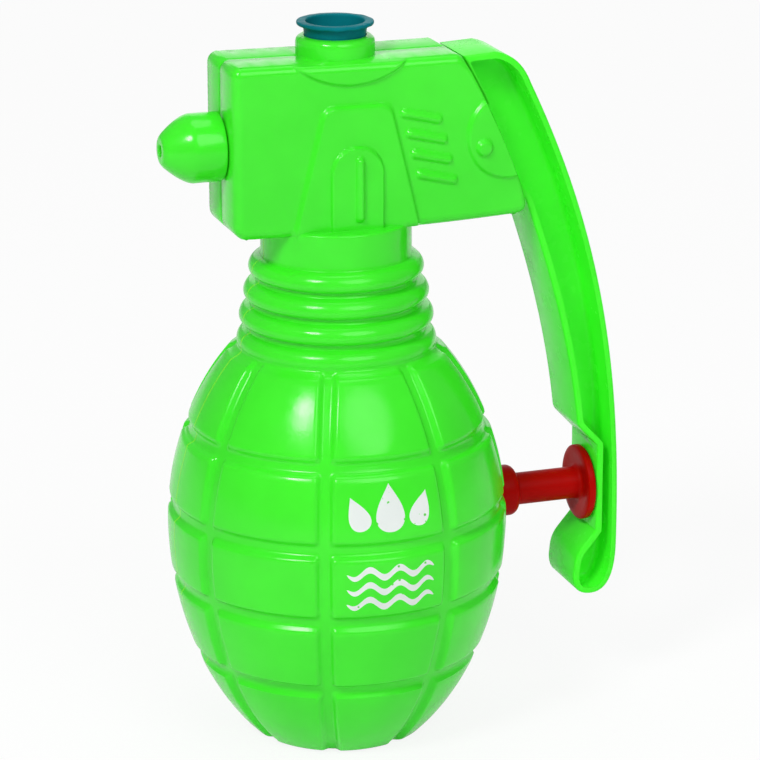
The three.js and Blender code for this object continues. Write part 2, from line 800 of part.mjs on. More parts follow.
// Least distance between the skins of two turns of a wire
function leastSelfGap(curve, turns, wire) {
  const perTurn = 16;
  const points = curve.getPoints(turns * perTurn);
  let least = Infinity;
  for (let i = 0; i < points.length; i += 1) {
    for (let j = i + perTurn / 2; j < points.length; j += 1) {
      least = Math.min(least, points[i].distanceTo(points[j]) - wire);
    }
  }
  return least;
}

function returnSpring() {
  const stepsPerTurn = 8;
  const wireSides = 5;
  const from = barrelFront + springWire / 2;
  const to = pistonFront - clearance - springWire / 2;
  const curve = new Helix(from, to, springMeanRadius, springTurns, pumpHeight);
  const gap = leastSelfGap(curve, springTurns, springWire);
  console.log(`return spring, least gap between turns: ${gap.toFixed(2)} mm`);
  const section = new THREE.Shape();
  for (let side = 0; side < wireSides; side += 1) {
    const turn = (2 * Math.PI * side) / wireSides;
    const corner = [(springWire / 2) * Math.cos(turn), (springWire / 2) * Math.sin(turn)];
    if (side === 0) section.moveTo(...corner);
    else section.lineTo(...corner);
  }
  const settings = { steps: springTurns * stepsPerTurn, extrudePath: curve, bevelEnabled: false };
  return solid(new THREE.ExtrudeGeometry(section, settings));
}

// Valve chest: a cup on the barrel's front end and an upright tube with the two check valves
function valveChest() {
  const cupRadius = barrelOuter + clearance + chestCupWall;
  const cupFloor = barrelFront - clearance;
  const low = pumpHeight - chestBelow;
  const high = pumpHeight + chestAbove;
  const seatTop = pumpHeight + valveSeatRise + valveSeatWall;
  const seatLow = pumpHeight + valveSeatRise;
  const stopTop = pumpHeight;
  const stop = block(
    [chestReach - valveStopThickness / 2, -chestBore - 0.5, stopTop - valveStopDrop],
    [chestReach + valveStopThickness / 2, chestBore + 0.5, stopTop],
  );
  return rodAlongX(cupRadius, chestReach - chestFront, barrelFront + chestCupDepth, pumpHeight)
    .add(rodUpright(chestTubeRadius, low, high, chestReach))
    .subtract(rodAlongX(barrelOuter + clearance, cupFloor, barrelFront + chestCupDepth + 1, pumpHeight))
    .subtract(rodAlongX(chestPort, chestReach, cupFloor + 1, pumpHeight, smallSides))
    .subtract(rodUpright(chestBore, low - 1, seatLow, chestReach, smallSides))
    .subtract(rodUpright(valveSeatHole, seatLow - 1, seatTop + 1, chestReach, smallSides))
    .subtract(rodUpright(chestBore, seatTop, high + 1, chestReach, smallSides))
    .add(stop);
}

// Lower fitting: hose tail, flange and the spigot whose cone seats the inlet ball
function inletFitting() {
  const flangeTop = pumpHeight - chestBelow - clearance;
  const flangeLow = flangeTop - tailFlange;
  const seat = flangeTop + tailSpigot;
  const profile = ring([
    [tailBore, flangeLow - tailLength], [tailRadius, flangeLow - tailLength], [tailRadius, flangeLow],
    [chestTubeRadius, flangeLow], [chestTubeRadius, flangeTop], [chestBore - clearance, flangeTop],
    [chestBore - clearance, seat], [tailBore + seatCone, seat], [tailBore, seat - seatCone],
  ]);
  return turned(profile, smallSides, chestReach);
}

// A ball on a 45 degree cone touches it at 1/sqrt(2) of its radius
function inletBall() {
  const apex = pumpHeight - chestBelow - clearance + tailSpigot - seatCone - tailBore;
  return ball(apex + valveBallRadius * Math.SQRT2 + valveGap);
}

function outletFitting() {
  const flangeLow = pumpHeight + chestAbove + clearance;
  const flangeTop = flangeLow + tailFlange;
  const spigotLow = outletBallHeight() + valveBallRadius + valveLift + clearance;
  const profile = ring([
    [tailBore, spigotLow], [chestBore - clearance, spigotLow], [chestBore - clearance, flangeLow],
    [chestTubeRadius, flangeLow], [chestTubeRadius, flangeTop], [tailRadius, flangeTop],
    [tailRadius, flangeTop + tailLength], [tailBore, flangeTop + tailLength],
  ]);
  return turned(profile, smallSides, chestReach);
}

// A ball on the rim of a hole sinks in until its section there is as wide as the hole
function outletBallHeight() {
  const sunk = Math.sqrt(valveBallRadius * valveBallRadius - valveSeatHole * valveSeatHole);
  return pumpHeight + valveSeatRise + valveSeatWall + sunk + valveGap;
}

function ball(height) {
  return solid(new THREE.SphereGeometry(valveBallRadius, 12, 8).translate(chestReach, 0, height));
}

function suctionTube() {
  const top = pumpHeight - chestBelow - tailFlange - 2 * clearance;
  const bottom = eggWall + clearance + strainerHeight - strainerSeatDepth + clearance;
  const foot = new THREE.Vector3(chestReach, 0, bottom);
  return hose(new THREE.LineCurve3(foot, foot.clone().setZ(top)), 1);
}

function suctionStrainer() {
  const low = eggWall + clearance;
  const top = low + strainerHeight;
  const seat = top - strainerSeatDepth;
  const cup = turned(
    ring([[hoseBore, low], [strainerRadius, low], [strainerRadius, top], [hoseOuter + clearance, top],
      [hoseOuter + clearance, seat], [hoseBore, seat]]),
    smallSides,
    chestReach,
  );
  const half = strainerSlot / 2;
  const reach = strainerRadius + 1;
  const slotTop = low + strainerSlotHeight;
  return cup
    .subtract(block([chestReach - reach, -half, low - 1], [chestReach + reach, half, slotTop]))
    .subtract(block([chestReach - half, -reach, low - 1], [chestReach + half, reach, slotTop]));
}

// Hose from the outlet up the neck, round a bend and onto the nozzle's tail
function deliveryTube() {
  const start = pumpHeight + chestAbove + tailFlange + 2 * clearance;
  const bendLow = nozzleHeight - hoseBend;
  const bendEnd = hoseRiseReach - hoseBend;
  const tailStart = -headFrontReach + headWall + nozzleSealThickness + nozzleFlangeThickness + 3 * clearance;
  const at = (x, z) => new THREE.Vector3(x, 0, z);
  const rise = new THREE.CubicBezierCurve3(
    at(chestReach, start + tailLength),
    at(chestReach, THREE.MathUtils.lerp(start, bendLow, 0.5)),
    at(hoseRiseReach, THREE.MathUtils.lerp(start, bendLow, 0.5)),
    at(hoseRiseReach, bendLow),
  );
  const route = [at(chestReach, start), ...rise.getPoints(10)];
  for (let step = 1; step <= 6; step += 1) {
    const turn = (Math.PI * step) / 12;
    route.push(at(bendEnd + hoseBend * Math.cos(turn), bendLow + hoseBend * Math.sin(turn)));
  }
  route.push(at(tailStart, nozzleHeight));
  return hose(new THREE.CatmullRomCurve3(route, false, "centripetal"), 18);
}

// Finishes
const plastic = { roughness: 0.3, metalness: 0 };
const finishes = {
  green: { ...plastic, color: 0x48eb32 },
  red: { ...plastic, color: 0xb41212 },
  teal: { roughness: 0.45, metalness: 0, color: 0x12707c },
  natural: { roughness: 0.4, metalness: 0, color: 0xe6e4da },
  rubber: { roughness: 0.7, metalness: 0, color: 0x1c1c1e },
  clear: { roughness: 0.25, metalness: 0, color: 0xd8dedc },
  steel: { roughness: 0.3, metalness: 1, color: 0xb9bcc0 },
};

const squirter = new THREE.Group();

function addPiece(name, shape, finish) {
  const { vertProperties, triVerts } = shape.getMesh();
  const geometry = new THREE.BufferGeometry();
  geometry.setAttribute("position", new THREE.BufferAttribute(vertProperties, 3));
  geometry.setIndex(new THREE.BufferAttribute(triVerts, 1));
  geometry.computeVertexNormals();
  const piece = new THREE.Mesh(geometry, new THREE.MeshStandardMaterial(finishes[finish]));
  piece.name = name;
  squirter.add(piece);
}

const shells = bodyShells();
addPiece("shell_left", shells.left, "green");
addPiece("shell_right", shells.right, "green");
addPiece("nozzle", nozzle(), "green");
addPiece("nozzle_seal", nozzleSeal(), "rubber");
addPiece("filler_plug", fillerPlug(), "teal");
addPiece("lever", lever(), "green");
addPiece("lever_pivot_pin", pivotPin(), "steel");
addPiece("plunger", plunger(), "red");
addPiece("piston_ring", pistonRing(), "rubber");
addPiece("return_spring", returnSpring(), "steel");
addPiece("pump_cylinder", pumpCylinder(), "natural");
addPiece("gland_cap", glandCap(), "red");
addPiece("gland_seal", glandSeal(), "rubber");
addPiece("valve_chest", valveChest(), "natural");
addPiece("inlet_fitting", inletFitting(), "natural");
addPiece("inlet_ball", inletBall(), "steel");
addPiece("outlet_fitting", outletFitting(), "natural");
addPiece("outlet_ball", ball(outletBallHeight()), "steel");
addPiece("suction_tube", suctionTube(), "clear");
addPiece("suction_strainer", suctionStrainer(), "natural");
addPiece("delivery_tube", deliveryTube(), "clear");

export default squirter;
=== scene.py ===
import json
import math

import bmesh
import bpy
from mathutils import Matrix, Vector, kdtree, noise


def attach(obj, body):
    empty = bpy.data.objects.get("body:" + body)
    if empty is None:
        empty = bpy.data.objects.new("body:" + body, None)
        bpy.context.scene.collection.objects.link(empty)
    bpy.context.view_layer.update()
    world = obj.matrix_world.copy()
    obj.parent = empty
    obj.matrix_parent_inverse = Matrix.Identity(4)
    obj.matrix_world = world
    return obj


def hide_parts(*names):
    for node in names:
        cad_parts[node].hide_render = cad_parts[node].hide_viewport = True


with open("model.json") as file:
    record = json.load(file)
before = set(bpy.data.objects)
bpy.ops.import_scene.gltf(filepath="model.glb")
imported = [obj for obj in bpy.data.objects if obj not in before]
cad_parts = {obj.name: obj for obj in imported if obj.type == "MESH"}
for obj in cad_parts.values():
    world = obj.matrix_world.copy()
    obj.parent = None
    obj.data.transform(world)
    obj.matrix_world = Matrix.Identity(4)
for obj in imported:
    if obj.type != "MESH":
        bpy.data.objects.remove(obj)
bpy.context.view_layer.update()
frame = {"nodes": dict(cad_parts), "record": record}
print("frame loaded with", len(frame["nodes"]), "nodes")

mm = 0.001  # pieces are drawn in millimetres and brought to metres when they are done
fullTurn = 2 * math.pi
tiny = 1e-6
weldGap = 1e-4  # points nearer than this become one
roundSides = 96
sharpAngle = 38  # edges that turn by more degrees than this stay crisp

# Places that several pieces share
pumpHeight = 53
nozzleHeight = 143
pivot = (31.7, 140.7)  # the lever's hinge, behind the small bumps on the head


# Nodes, materials and objects

def addNode(tree, kind, settings=None, **values):
    node = tree.nodes.new(kind)
    for key, value in (settings or {}).items():
        setattr(node, key, value)
    for key, value in values.items():
        node.inputs[key].default_value = value
    return node


# One step of arithmetic on sockets and plain numbers
def reckon(tree, operation, *values):
    node = addNode(tree, "ShaderNodeMath", {"operation": operation})
    for place, value in zip(node.inputs, values):
        if isinstance(value, bpy.types.NodeSocket):
            tree.links.new(value, place)
        else:
            place.default_value = value
    return node.outputs[0]


def newMaterial(name):
    material = bpy.data.materials.new(name)
    material.use_nodes = True
    tree = material.node_tree
    return material, tree, tree.nodes["Principled BSDF"]


def toObject(bm, name):
    mesh = bpy.data.meshes.new(name)
    bm.to_mesh(mesh)
    bm.free()
    piece = bpy.data.objects.new(name, mesh)
    bpy.context.scene.collection.objects.link(piece)
    return piece


# Camera, light and floor

view = {
    "place": (-237.6, -721, 325.75),
    "aim": (10.7, 0, 83.85),
    "lens": 162.2,
    "sensor": 36,
    "farthest": 20,  # metres
}

studio = {
    "lamps": {  # place and size in metres, power in watts
        "keyBox": ((-0.85, -0.7, 1.1), 0.4, 11.5),
        "fillBox": ((0.2, -1.1, 1.0), 0.9, 6.4),
        "topBox": ((0.1, 0.2, 1.6), 0.9, 4),
        "backBox": ((0.5, 1.35, 0.55), 1.2, 3.0),
    },
    "target": (0, 0, 0.09),
    "ambient": 0.33,
    "floorGlow": 0.88,
    "floorMirror": 0.45,
    "floorColour": (0.9, 0.9, 0.9, 1),
    "floorRoughness": 0.9,
    "floorGloss": 0.1,
    "floorHalf": 6,
    "floorDrop": 0.0002,
}


# Hang the camera or a lamp at a place in metres and point it
def hang(data, place, direction):
    thing = bpy.data.objects.new(data.name, data)
    thing.location = place
    thing.rotation_mode = "QUATERNION"
    thing.rotation_quaternion = direction.to_track_quat("-Z", "Y")
    bpy.context.scene.collection.objects.link(thing)
    return thing


def placeCamera():
    data = bpy.data.cameras.new("photoCamera")
    data.lens = view["lens"]
    data.sensor_width = view["sensor"]
    data.clip_end = view["farthest"]
    place = Vector(view["place"])
    bpy.context.scene.camera = hang(data, place * mm, Vector(view["aim"]) - place)


def lightStudio():
    for name, (place, size, power) in studio["lamps"].items():
        data = bpy.data.lights.new(name, "AREA")
        data.shape = "DISK"
        data.size = size
        data.energy = power
        hang(data, place, Vector(studio["target"]) - Vector(place))
    world = bpy.data.worlds.new("paleRoom")
    bpy.context.scene.world = world
    world.use_nodes = True
    sky = world.node_tree.nodes["Background"]
    sky.inputs["Color"].default_value = (1, 1, 1, 1)
    sky.inputs["Strength"].default_value = studio["ambient"]


# To the eye, and in reflections, the floor is nearly white and keeps a faint shadow
def liftFloor(tree, shader):
    rays = tree.nodes.new("ShaderNodeLightPath")
    seen = reckon(tree, "MULTIPLY", rays.outputs["Is Glossy Ray"], studio["floorMirror"])
    for kind in ("Is Camera Ray", "Is Transmission Ray"):
        seen = reckon(tree, "MAXIMUM", seen, rays.outputs[kind])
    share = reckon(tree, "MULTIPLY", seen, studio["floorGlow"])
    glow = tree.nodes.new("ShaderNodeEmission")
    blend = tree.nodes.new("ShaderNodeMixShader")
    for source, place in zip((share, shader.outputs[0], glow.outputs[0]), blend.inputs):
        tree.links.new(source, place)
    tree.links.new(blend.outputs[0], tree.nodes["Material Output"].inputs["Surface"])


def layFloor():
    bm = bmesh.new()
    bmesh.ops.create_grid(bm, x_segments=1, y_segments=1, size=studio["floorHalf"])
    bmesh.ops.translate(bm, vec=(0, 0, -studio["floorDrop"]), verts=bm.verts)
    floor = toObject(bm, "floor")
    material, tree, shader = newMaterial("paleFloor")
    shader.inputs["Base Color"].default_value = studio["floorColour"]
    shader.inputs["Roughness"].default_value = studio["floorRoughness"]
    shader.inputs["Specular IOR Level"].default_value = studio["floorGloss"]
    liftFloor(tree, shader)
    floor.data.materials.append(material)


placeCamera()
lightStudio()
layFloor()
bpy.context.scene.view_settings.view_transform = "Standard"
print("camera, light and floor are set")


# Finishes

# Shared by the plastics that don't say otherwise: patterns per metre, depths in metres
moulding = {
    "flowScale": 45, "wearScale": 160, "wearDetail": 5,
    "grainScale": 700, "grainDetail": 4, "grainDepth": 0.0004,
    "speckScale": 210, "speckSize": 0.05, "speckMost": 0.3, "glowDepth": 0.004,
}

green = {
    "colour": (0.050, 0.80, 0.022), "deep": (0.042, 0.73, 0.018), "roughness": (0.14, 0.26),
    "gloss": 0.34, "translucent": 0.1, "grain": 0.05,
    "speck": (0.01, 0.16, 0.01), "speckShare": 0.5,
}

plastics = {
    "greenPlastic": green,
    "shellPlastic": {  # with a pale line along the seam of the bottle, a painted highlight for the light its ridge would catch
        **green, "seamHighlight": (0.2, 0.9, 0.03), "seamHighlightHalf": 0.0004, "seamHighlightTop": 0.1225,
    },
    "thinPlasticPaintedLight": {  # thin walls let some light through; the colour, lighter than the bottle's green, is painted light that brightens the lever's shaded hollows
        "colour": (0.065, 0.95, 0.03), "deep": (0.055, 0.89, 0.025), "roughness": (0.18, 0.3),
        "gloss": 0.13, "translucent": 0.2, "grain": 0.05,
        "speck": (0.01, 0.16, 0.01), "speckShare": 0.4,
    },
    "redPlastic": {
        "colour": (0.47, 0.0022, 0.0008), "deep": (0.36, 0.0016, 0.0006), "roughness": (0.28, 0.42),
        "gloss": 0.045, "translucent": 0.05, "grain": 0.1,
        "speck": (0.05, 0.003, 0.003), "speckShare": 0.4,
    },
    "tealPlastic": {
        "colour": (0.002, 0.18, 0.21), "deep": (0.001, 0.12, 0.14), "roughness": (0.32, 0.48),
        "gloss": 0.03, "translucent": 0.08, "grain": 0.1,
        "speck": (0.003, 0.04, 0.06), "speckShare": 0.3,
    },
    "naturalPlastic": {
        "colour": (0.78, 0.76, 0.70), "deep": (0.70, 0.68, 0.60), "roughness": (0.35, 0.5),
        "gloss": 0.5, "translucent": 0.1, "grain": 0.1,
        "speck": (0.3, 0.28, 0.24), "speckShare": 0.2,
    },
    "clearHose": {
        "colour": (0.66, 0.70, 0.68), "deep": (0.56, 0.61, 0.58), "roughness": (0.2, 0.35),
        "gloss": 0.5, "translucent": 0.2, "grain": 0.05,
        "speck": (0.4, 0.42, 0.4), "speckShare": 0.1,
    },
    "blackRubber": {
        "colour": (0.012, 0.012, 0.013), "deep": (0.006, 0.006, 0.007), "roughness": (0.55, 0.75),
        "gloss": 0.4, "translucent": 0, "grain": 0.3,
        "speck": (0.03, 0.03, 0.03), "speckShare": 0.3,
    },
    "whitePrint": {  # worn through to the green in many small places
        "colour": (0.76, 0.80, 0.78), "deep": (0.62, 0.68, 0.65), "roughness": (0.35, 0.5),
        "gloss": 0.3, "translucent": 0, "grain": 0.1,
        "speck": (0.12, 0.62, 0.09), "speckShare": 0.8, "speckScale": 900, "speckSize": 0.3,
    },
}

steel = {
    "colour": (0.55, 0.56, 0.58), "deep": (0.42, 0.43, 0.45), "roughness": (0.2, 0.36),
    "tintScale": 300, "shineScale": 900,
}


def cloud(tree, place, scale, detail=3):
    node = addNode(tree, "ShaderNodeTexNoise", Scale=scale, Detail=detail)
    tree.links.new(place, node.inputs["Vector"])
    return node.outputs["Fac"]


def mixed(tree, share, first, second):
    node = addNode(tree, "ShaderNodeMix", {"data_type": "RGBA"})
    tree.links.new(share, node.inputs["Factor"])
    for socket, colour in (("A", first), ("B", second)):
        place = [i for i in node.inputs if i.name == socket and i.type == "RGBA"][0]
        if isinstance(colour, tuple):
            place.default_value = (*colour, 1)
        else:
            tree.links.new(colour, place)
    return [o for o in node.outputs if o.type == "RGBA"][0]


# Most of a cloud's values lie between this start and stop
def spread(tree, source, low, high, start=0.35, stop=0.65):
    node = addNode(tree, "ShaderNodeMapRange")
    for name, value in (("From Min", start), ("From Max", stop), ("To Min", low), ("To Max", high)):
        node.inputs[name].default_value = value
    tree.links.new(source, node.inputs["Value"])
    return node.outputs["Result"]


# Sparse specks: the middles of some cells only
def specks(tree, place, scale, radius, share):
    cells = addNode(tree, "ShaderNodeTexVoronoi", Scale=scale)
    tree.links.new(place, cells.inputs["Vector"])
    near = reckon(tree, "LESS_THAN", cells.outputs["Distance"], radius)
    some = reckon(tree, "LESS_THAN", cells.outputs["Color"], share)
    return reckon(tree, "MULTIPLY", near, some)


# A pale line where the two halves meet, on the bottle only: a painted highlight along the seam
def seamHighlightLine(tree, place, half, top):
    axes = addNode(tree, "ShaderNodeSeparateXYZ")
    tree.links.new(place, axes.inputs[0])
    across = reckon(tree, "ABSOLUTE", axes.outputs["Y"])
    line = spread(tree, across, 1, 0, half / 2, half)
    below = reckon(tree, "LESS_THAN", axes.outputs["Z"], top)
    return reckon(tree, "MULTIPLY", line, below)


def mouldedPlastic(name):
    look = {**moulding, **plastics[name]}
    material, tree, shader = newMaterial(name)
    place = tree.nodes.new("ShaderNodeTexCoord").outputs["Object"]
    flow = spread(tree, cloud(tree, place, look["flowScale"]), 0, 1)
    base = mixed(tree, flow, look["colour"], look["deep"])
    share = look["speckMost"] * look["speckShare"]
    dots = specks(tree, place, look["speckScale"], look["speckSize"], share)
    base = mixed(tree, dots, base, look["speck"])
    # Paint a highlight along the bottle's seam
    if "seamHighlight" in look:
        seam = seamHighlightLine(tree, place, look["seamHighlightHalf"], look["seamHighlightTop"])
        base = mixed(tree, seam, base, look["seamHighlight"])
    tree.links.new(base, shader.inputs["Base Color"])
    wear = cloud(tree, place, look["wearScale"], look["wearDetail"])
    tree.links.new(spread(tree, wear, *look["roughness"]), shader.inputs["Roughness"])
    bump = addNode(tree, "ShaderNodeBump", Strength=look["grain"], Distance=look["grainDepth"])
    grain = cloud(tree, place, look["grainScale"], look["grainDetail"])
    tree.links.new(grain, bump.inputs["Height"])
    tree.links.new(bump.outputs["Normal"], shader.inputs["Normal"])
    shader.inputs["Specular IOR Level"].default_value = look["gloss"]
    shader.inputs["Subsurface Weight"].default_value = look["translucent"]
    shader.inputs["Subsurface Radius"].default_value = look["colour"]
    shader.inputs["Subsurface Scale"].default_value = look["glowDepth"]
    return material


def drawnSteel():
    material, tree, shader = newMaterial("drawnSteel")
    place = tree.nodes.new("ShaderNodeTexCoord").outputs["Object"]
    tint = spread(tree, cloud(tree, place, steel["tintScale"]), 0, 1)
    base = mixed(tree, tint, steel["colour"], steel["deep"])
    tree.links.new(base, shader.inputs["Base Color"])
    shine = spread(tree, cloud(tree, place, steel["shineScale"]), *steel["roughness"])
    tree.links.new(shine, shader.inputs["Roughness"])
    shader.inputs["Metallic"].default_value = 1
    return material


finishes = {name: mouldedPlastic(name) for name in plastics}
finishes["drawnSteel"] = drawnSteel()
slotFinish = {
    "green_plastic": "greenPlastic", "red_plastic": "redPlastic", "teal_plastic": "tealPlastic",
    "natural_plastic": "naturalPlastic", "clear_hose": "clearHose", "black_rubber": "blackRubber",
    "steel": "drawnSteel", "white_print": "whitePrint",
}
print("finishes made:", len(finishes))


# Making pieces

# Bake the modifiers into the mesh
def settle(piece):
    graph = bpy.context.evaluated_depsgraph_get()
    mesh = bpy.data.meshes.new_from_object(piece.evaluated_get(graph))
    piece.modifiers.clear()
    piece.data = mesh


def combine(piece, other, operation):
    cut = piece.modifiers.new("combine", "BOOLEAN")
    cut.operation = operation
    cut.solver = "EXACT"
    cut.object = other
    settle(piece)
    bpy.data.objects.remove(other)


def finishPiece(piece, slotName, body, node=None, finish=None):
    mesh = piece.data
    mesh.transform(Matrix.Scale(mm, 4))
    mesh.shade_smooth()
    mesh.set_sharp_from_angle(angle=math.radians(sharpAngle))
    mesh.materials.clear()
    mesh.materials.append(finishes[finish or slotFinish[slotName]])
    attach(piece, body)
    if node:
        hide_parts(node)
    print("made", piece.name, len(mesh.polygons), "faces")


def boxSolid(low, high):
    bm = bmesh.new()
    bmesh.ops.create_cube(bm, size=1)
    low, high = Vector(low), Vector(high)
    bmesh.ops.scale(bm, vec=high - low, verts=bm.verts)
    bmesh.ops.translate(bm, vec=(low + high) / 2, verts=bm.verts)
    return toObject(bm, "box")


# A cylinder from one point to another
def rodSolid(start, end, radius):
    start, end = Vector(start), Vector(end)
    along = end - start
    bm = bmesh.new()
    bmesh.ops.create_cone(
        bm, cap_ends=True, segments=roundSides, radius1=radius, radius2=radius, depth=along.length
    )
    turn = along.to_track_quat("Z", "Y").to_matrix()
    bmesh.ops.rotate(bm, cent=(0, 0, 0), matrix=turn, verts=bm.verts)
    bmesh.ops.translate(bm, vec=(start + end) / 2, verts=bm.verts)
    return toObject(bm, "rod")


# A line of points turned about an axis
def turnedMesh(points, axis, centre, steps, angle=fullTurn):
    bm = bmesh.new()
    verts = [bm.verts.new(point) for point in points]
    edges = [bm.edges.new(pair) for pair in zip(verts, verts[1:])]
    whole = angle == fullTurn
    bmesh.ops.spin(
        bm, geom=verts + edges, cent=centre, axis=axis, angle=angle, steps=steps, use_merge=whole
    )
    bmesh.ops.remove_doubles(bm, verts=bm.verts, dist=weldGap)
    bmesh.ops.recalc_face_normals(bm, faces=bm.faces)
    return bm


def turnedAlongX(profile, height):
    points = [(x, 0, height + radius) for x, radius in profile]
    return turnedMesh(points, (1, 0, 0), (0, 0, height), roundSides)


def turnedUpright(profile, steps, angle=fullTurn):
    points = [(-radius, 0, z) for radius, z in profile]
    return turnedMesh(points, (0, 0, 1), (0, 0, 0), steps, angle)


def bend(a, b, c, t):
    return a * (1 - t) ** 2 + b * 2 * t * (1 - t) + c * t * t


def quadratic(a, b, c, steps):
    a, b, c = Vector(a), Vector(b), Vector(c)
    return [tuple(bend(a, b, c, i / steps)) for i in range(steps + 1)]


def cubic(a, b, c, d, steps):
    a, b, c, d = Vector(a), Vector(b), Vector(c), Vector(d)
    shares = [i / steps for i in range(steps + 1)]
    return [
        tuple(a * (1 - t) ** 3 + b * 3 * t * (1 - t) ** 2 + c * 3 * t * t * (1 - t) + d * t ** 3)
        for t in shares
    ]


def arc(centreX, centreZ, radius, start, stop, steps):
    turns = [start + (stop - start) * i / steps for i in range(steps + 1)]
    return [(centreX + radius * math.cos(a), centreZ + radius * math.sin(a)) for a in turns]


def smooth(value, low, high):
    t = min(1, max(0, (value - low) / (high - low)))
    return t * t * (3 - 2 * t)


def softMin(values, reach):
    result = values[0]
    for value in values[1:]:
        h = max(reach - abs(result - value), 0) / reach
        result = min(result, value) - h * h * reach / 4
    return result


# How far a round edge has fallen away, this far past its start
def fall(radius, past):
    return radius - math.sqrt(max(0, radius ** 2 - past ** 2))


# Finds the nearest of many points
def nearTree(points):
    tree = kdtree.KDTree(len(points))
    for i, point in enumerate(points):
        tree.insert(point, i)
    tree.balance()
    return tree


# Bottle: egg with soft panel grooves, ringed neck

bottle = {
    "radius": 39.75, "middle": 51.5, "lowerReach": 60.2, "upperReach": 54.3, "fullness": 1.9,
    "shoulder": 92.6, "top": 93.2, "baseRound": 0.9, "baseOver": 0.2, "wall": 1.6, "slopeStep": 0.05,
    "ringGrooves": (20.4, 39.0, 56.8, 75.2), "meridians": 8,
    "grooveDepth": 1.3, "grooveFloor": 0.8, "grooveLip": 2.4, "grooveFade": 1.8, "grooveEnd": 2,
    "fineRow": 0.42, "fineMargin": 0.5, "wideRow": 1.1, "rowGap": 0.3, "skinSlack": 0.1,
    "beadCrowns": (23.3, 22.6, 21.4, 20.1), "beadPitch": 5.8, "beadSwell": 2.2, "beadGap": 1.2,
    "beadSoft": 0.5, "beadRows": 22, "shoulderDip": 1.3, "shoulderSoft": 0.6, "softLeast": 0.01,
    "neckRadius": 17.4, "neckFoot": 0.4, "neckTop": 124.25, "neckEdge": 0.6, "mouth": 6,
    "liningDrop": 2, "liningNeck": 0.8, "liningRows": 24,
    "columns": 152, "crowding": 0.6, "seam": 0.08,
    "unevenness": 0.05, "swayScale": 0.06, "swayFade": 4,
    "pumpHole": 6.3, "holeRun": (28, 48),
}


def eggSkin(z):
    reach = bottle["lowerReach"] if z < bottle["middle"] else bottle["upperReach"]
    rise = abs(z - bottle["middle"]) / reach
    return bottle["radius"] * math.sqrt(max(0, 1 - rise ** bottle["fullness"]))


# Outward normal of the egg's skin, as (radial, upward)
def eggNormal(z):
    step = bottle["slopeStep"]
    slope = (eggSkin(z + step) - eggSkin(z - step)) / (2 * step)
    return Vector((1, -slope)).normalized()


def grooveShare(distance):
    return 1 - smooth(abs(distance), bottle["grooveFloor"], bottle["grooveLip"])


# Depth of the panel grooves at an angle and a height
def grooveDepth(angle, z):
    shoulder = bottle["shoulder"]
    if z > shoulder + bottle["grooveEnd"]:
        return 0
    upright = eggNormal(z).x
    rings = max(grooveShare((z - middle) / upright) for middle in bottle["ringGrooves"])
    pitch = fullTurn / bottle["meridians"]
    offset = (angle / pitch) % 1 - 0.5
    meridian = grooveShare(offset * pitch * eggSkin(z))
    meridian *= 1 - smooth(z, shoulder, shoulder + bottle["grooveFade"])
    return bottle["grooveDepth"] * (1 - (1 - rings) * (1 - meridian))


def skinPoint(angle, z, lift=0):
    normal = eggNormal(z)
    move = lift - grooveDepth(angle, z)
    radius = eggSkin(z) + normal.x * move
    return Vector((radius * math.cos(angle), radius * math.sin(angle), z + normal.y * move))


def beadValley(index):
    crowns = bottle["beadCrowns"]
    if index == len(crowns):
        return bottle["neckRadius"]
    return (crowns[max(0, index - 1)] + crowns[index]) / 2 - bottle["beadSwell"]


# Height of a round bead over the line between its valleys, with soft valleys
def beadRise(along):
    half = (bottle["beadPitch"] - bottle["beadGap"]) / 2
    offset = abs(along - 0.5) * bottle["beadPitch"] / half
    rise = math.sqrt(1 - offset * offset) if offset < 1 else 1 - offset
    return -softMin([-bottle["beadSwell"] * rise, 0], bottle["beadSoft"])


# The lowest bead runs softly into the egg's shoulder
def beadRadius(bead, along):
    radius = beadValley(bead) * (1 - along) + beadValley(bead + 1) * along + beadRise(along)
    if bead or along > 0.5:
        return radius
    t = 2 * along
    crown = (beadValley(0) + beadValley(1)) / 2 + beadRise(0.5)
    dip = bottle["shoulderDip"] * math.sin(math.pi * t)
    slope = eggSkin(bottle["shoulder"]) * (1 - t) + crown * t - dip
    return -softMin([-radius, -slope], bottle["shoulderSoft"] * (1 - t) + bottle["softLeast"])


# Points up the egg, closer together in the grooves
def eggRows():
    rows = []
    z = bottle["baseRound"]
    while True:
        nearest = min(abs(z - middle) for middle in bottle["ringGrooves"])
        fine = nearest < bottle["grooveLip"] + bottle["fineMargin"]
        z += bottle["fineRow"] if fine else bottle["wideRow"]
        if z > bottle["shoulder"] - bottle["rowGap"]:
            return rows
        rows.append((eggSkin(z), z))


def beadPoints():
    points = []
    for bead in range(len(bottle["beadCrowns"])):
        for row in range(bottle["beadRows"]):
            along = row / bottle["beadRows"]
            z = bottle["top"] + (bead + along) * bottle["beadPitch"]
            if bead == 0:
                z -= (bottle["top"] - bottle["shoulder"]) * (1 - along)
            points.append((beadRadius(bead, along), z))
    return points


# Inside of the wall, from the mouth down to the middle of the base
def bottleLining():
    wall, top = bottle["wall"], bottle["top"]
    inside, ceiling = bottle["neckRadius"] - wall, bottle["neckTop"] - wall
    lining = [(bottle["mouth"], ceiling), (inside, ceiling)]
    lining.append((inside, top + bottle["liningNeck"] * bottle["beadPitch"]))
    high, low = top - bottle["liningDrop"], 2 * wall
    for row in range(bottle["liningRows"] + 1):
        z = high + (low - high) * row / bottle["liningRows"]
        lining.append((eggSkin(z) - wall - bottle["grooveDepth"], z))
    return lining + [(eggSkin(0) - 2 * wall, wall), (0, wall)]


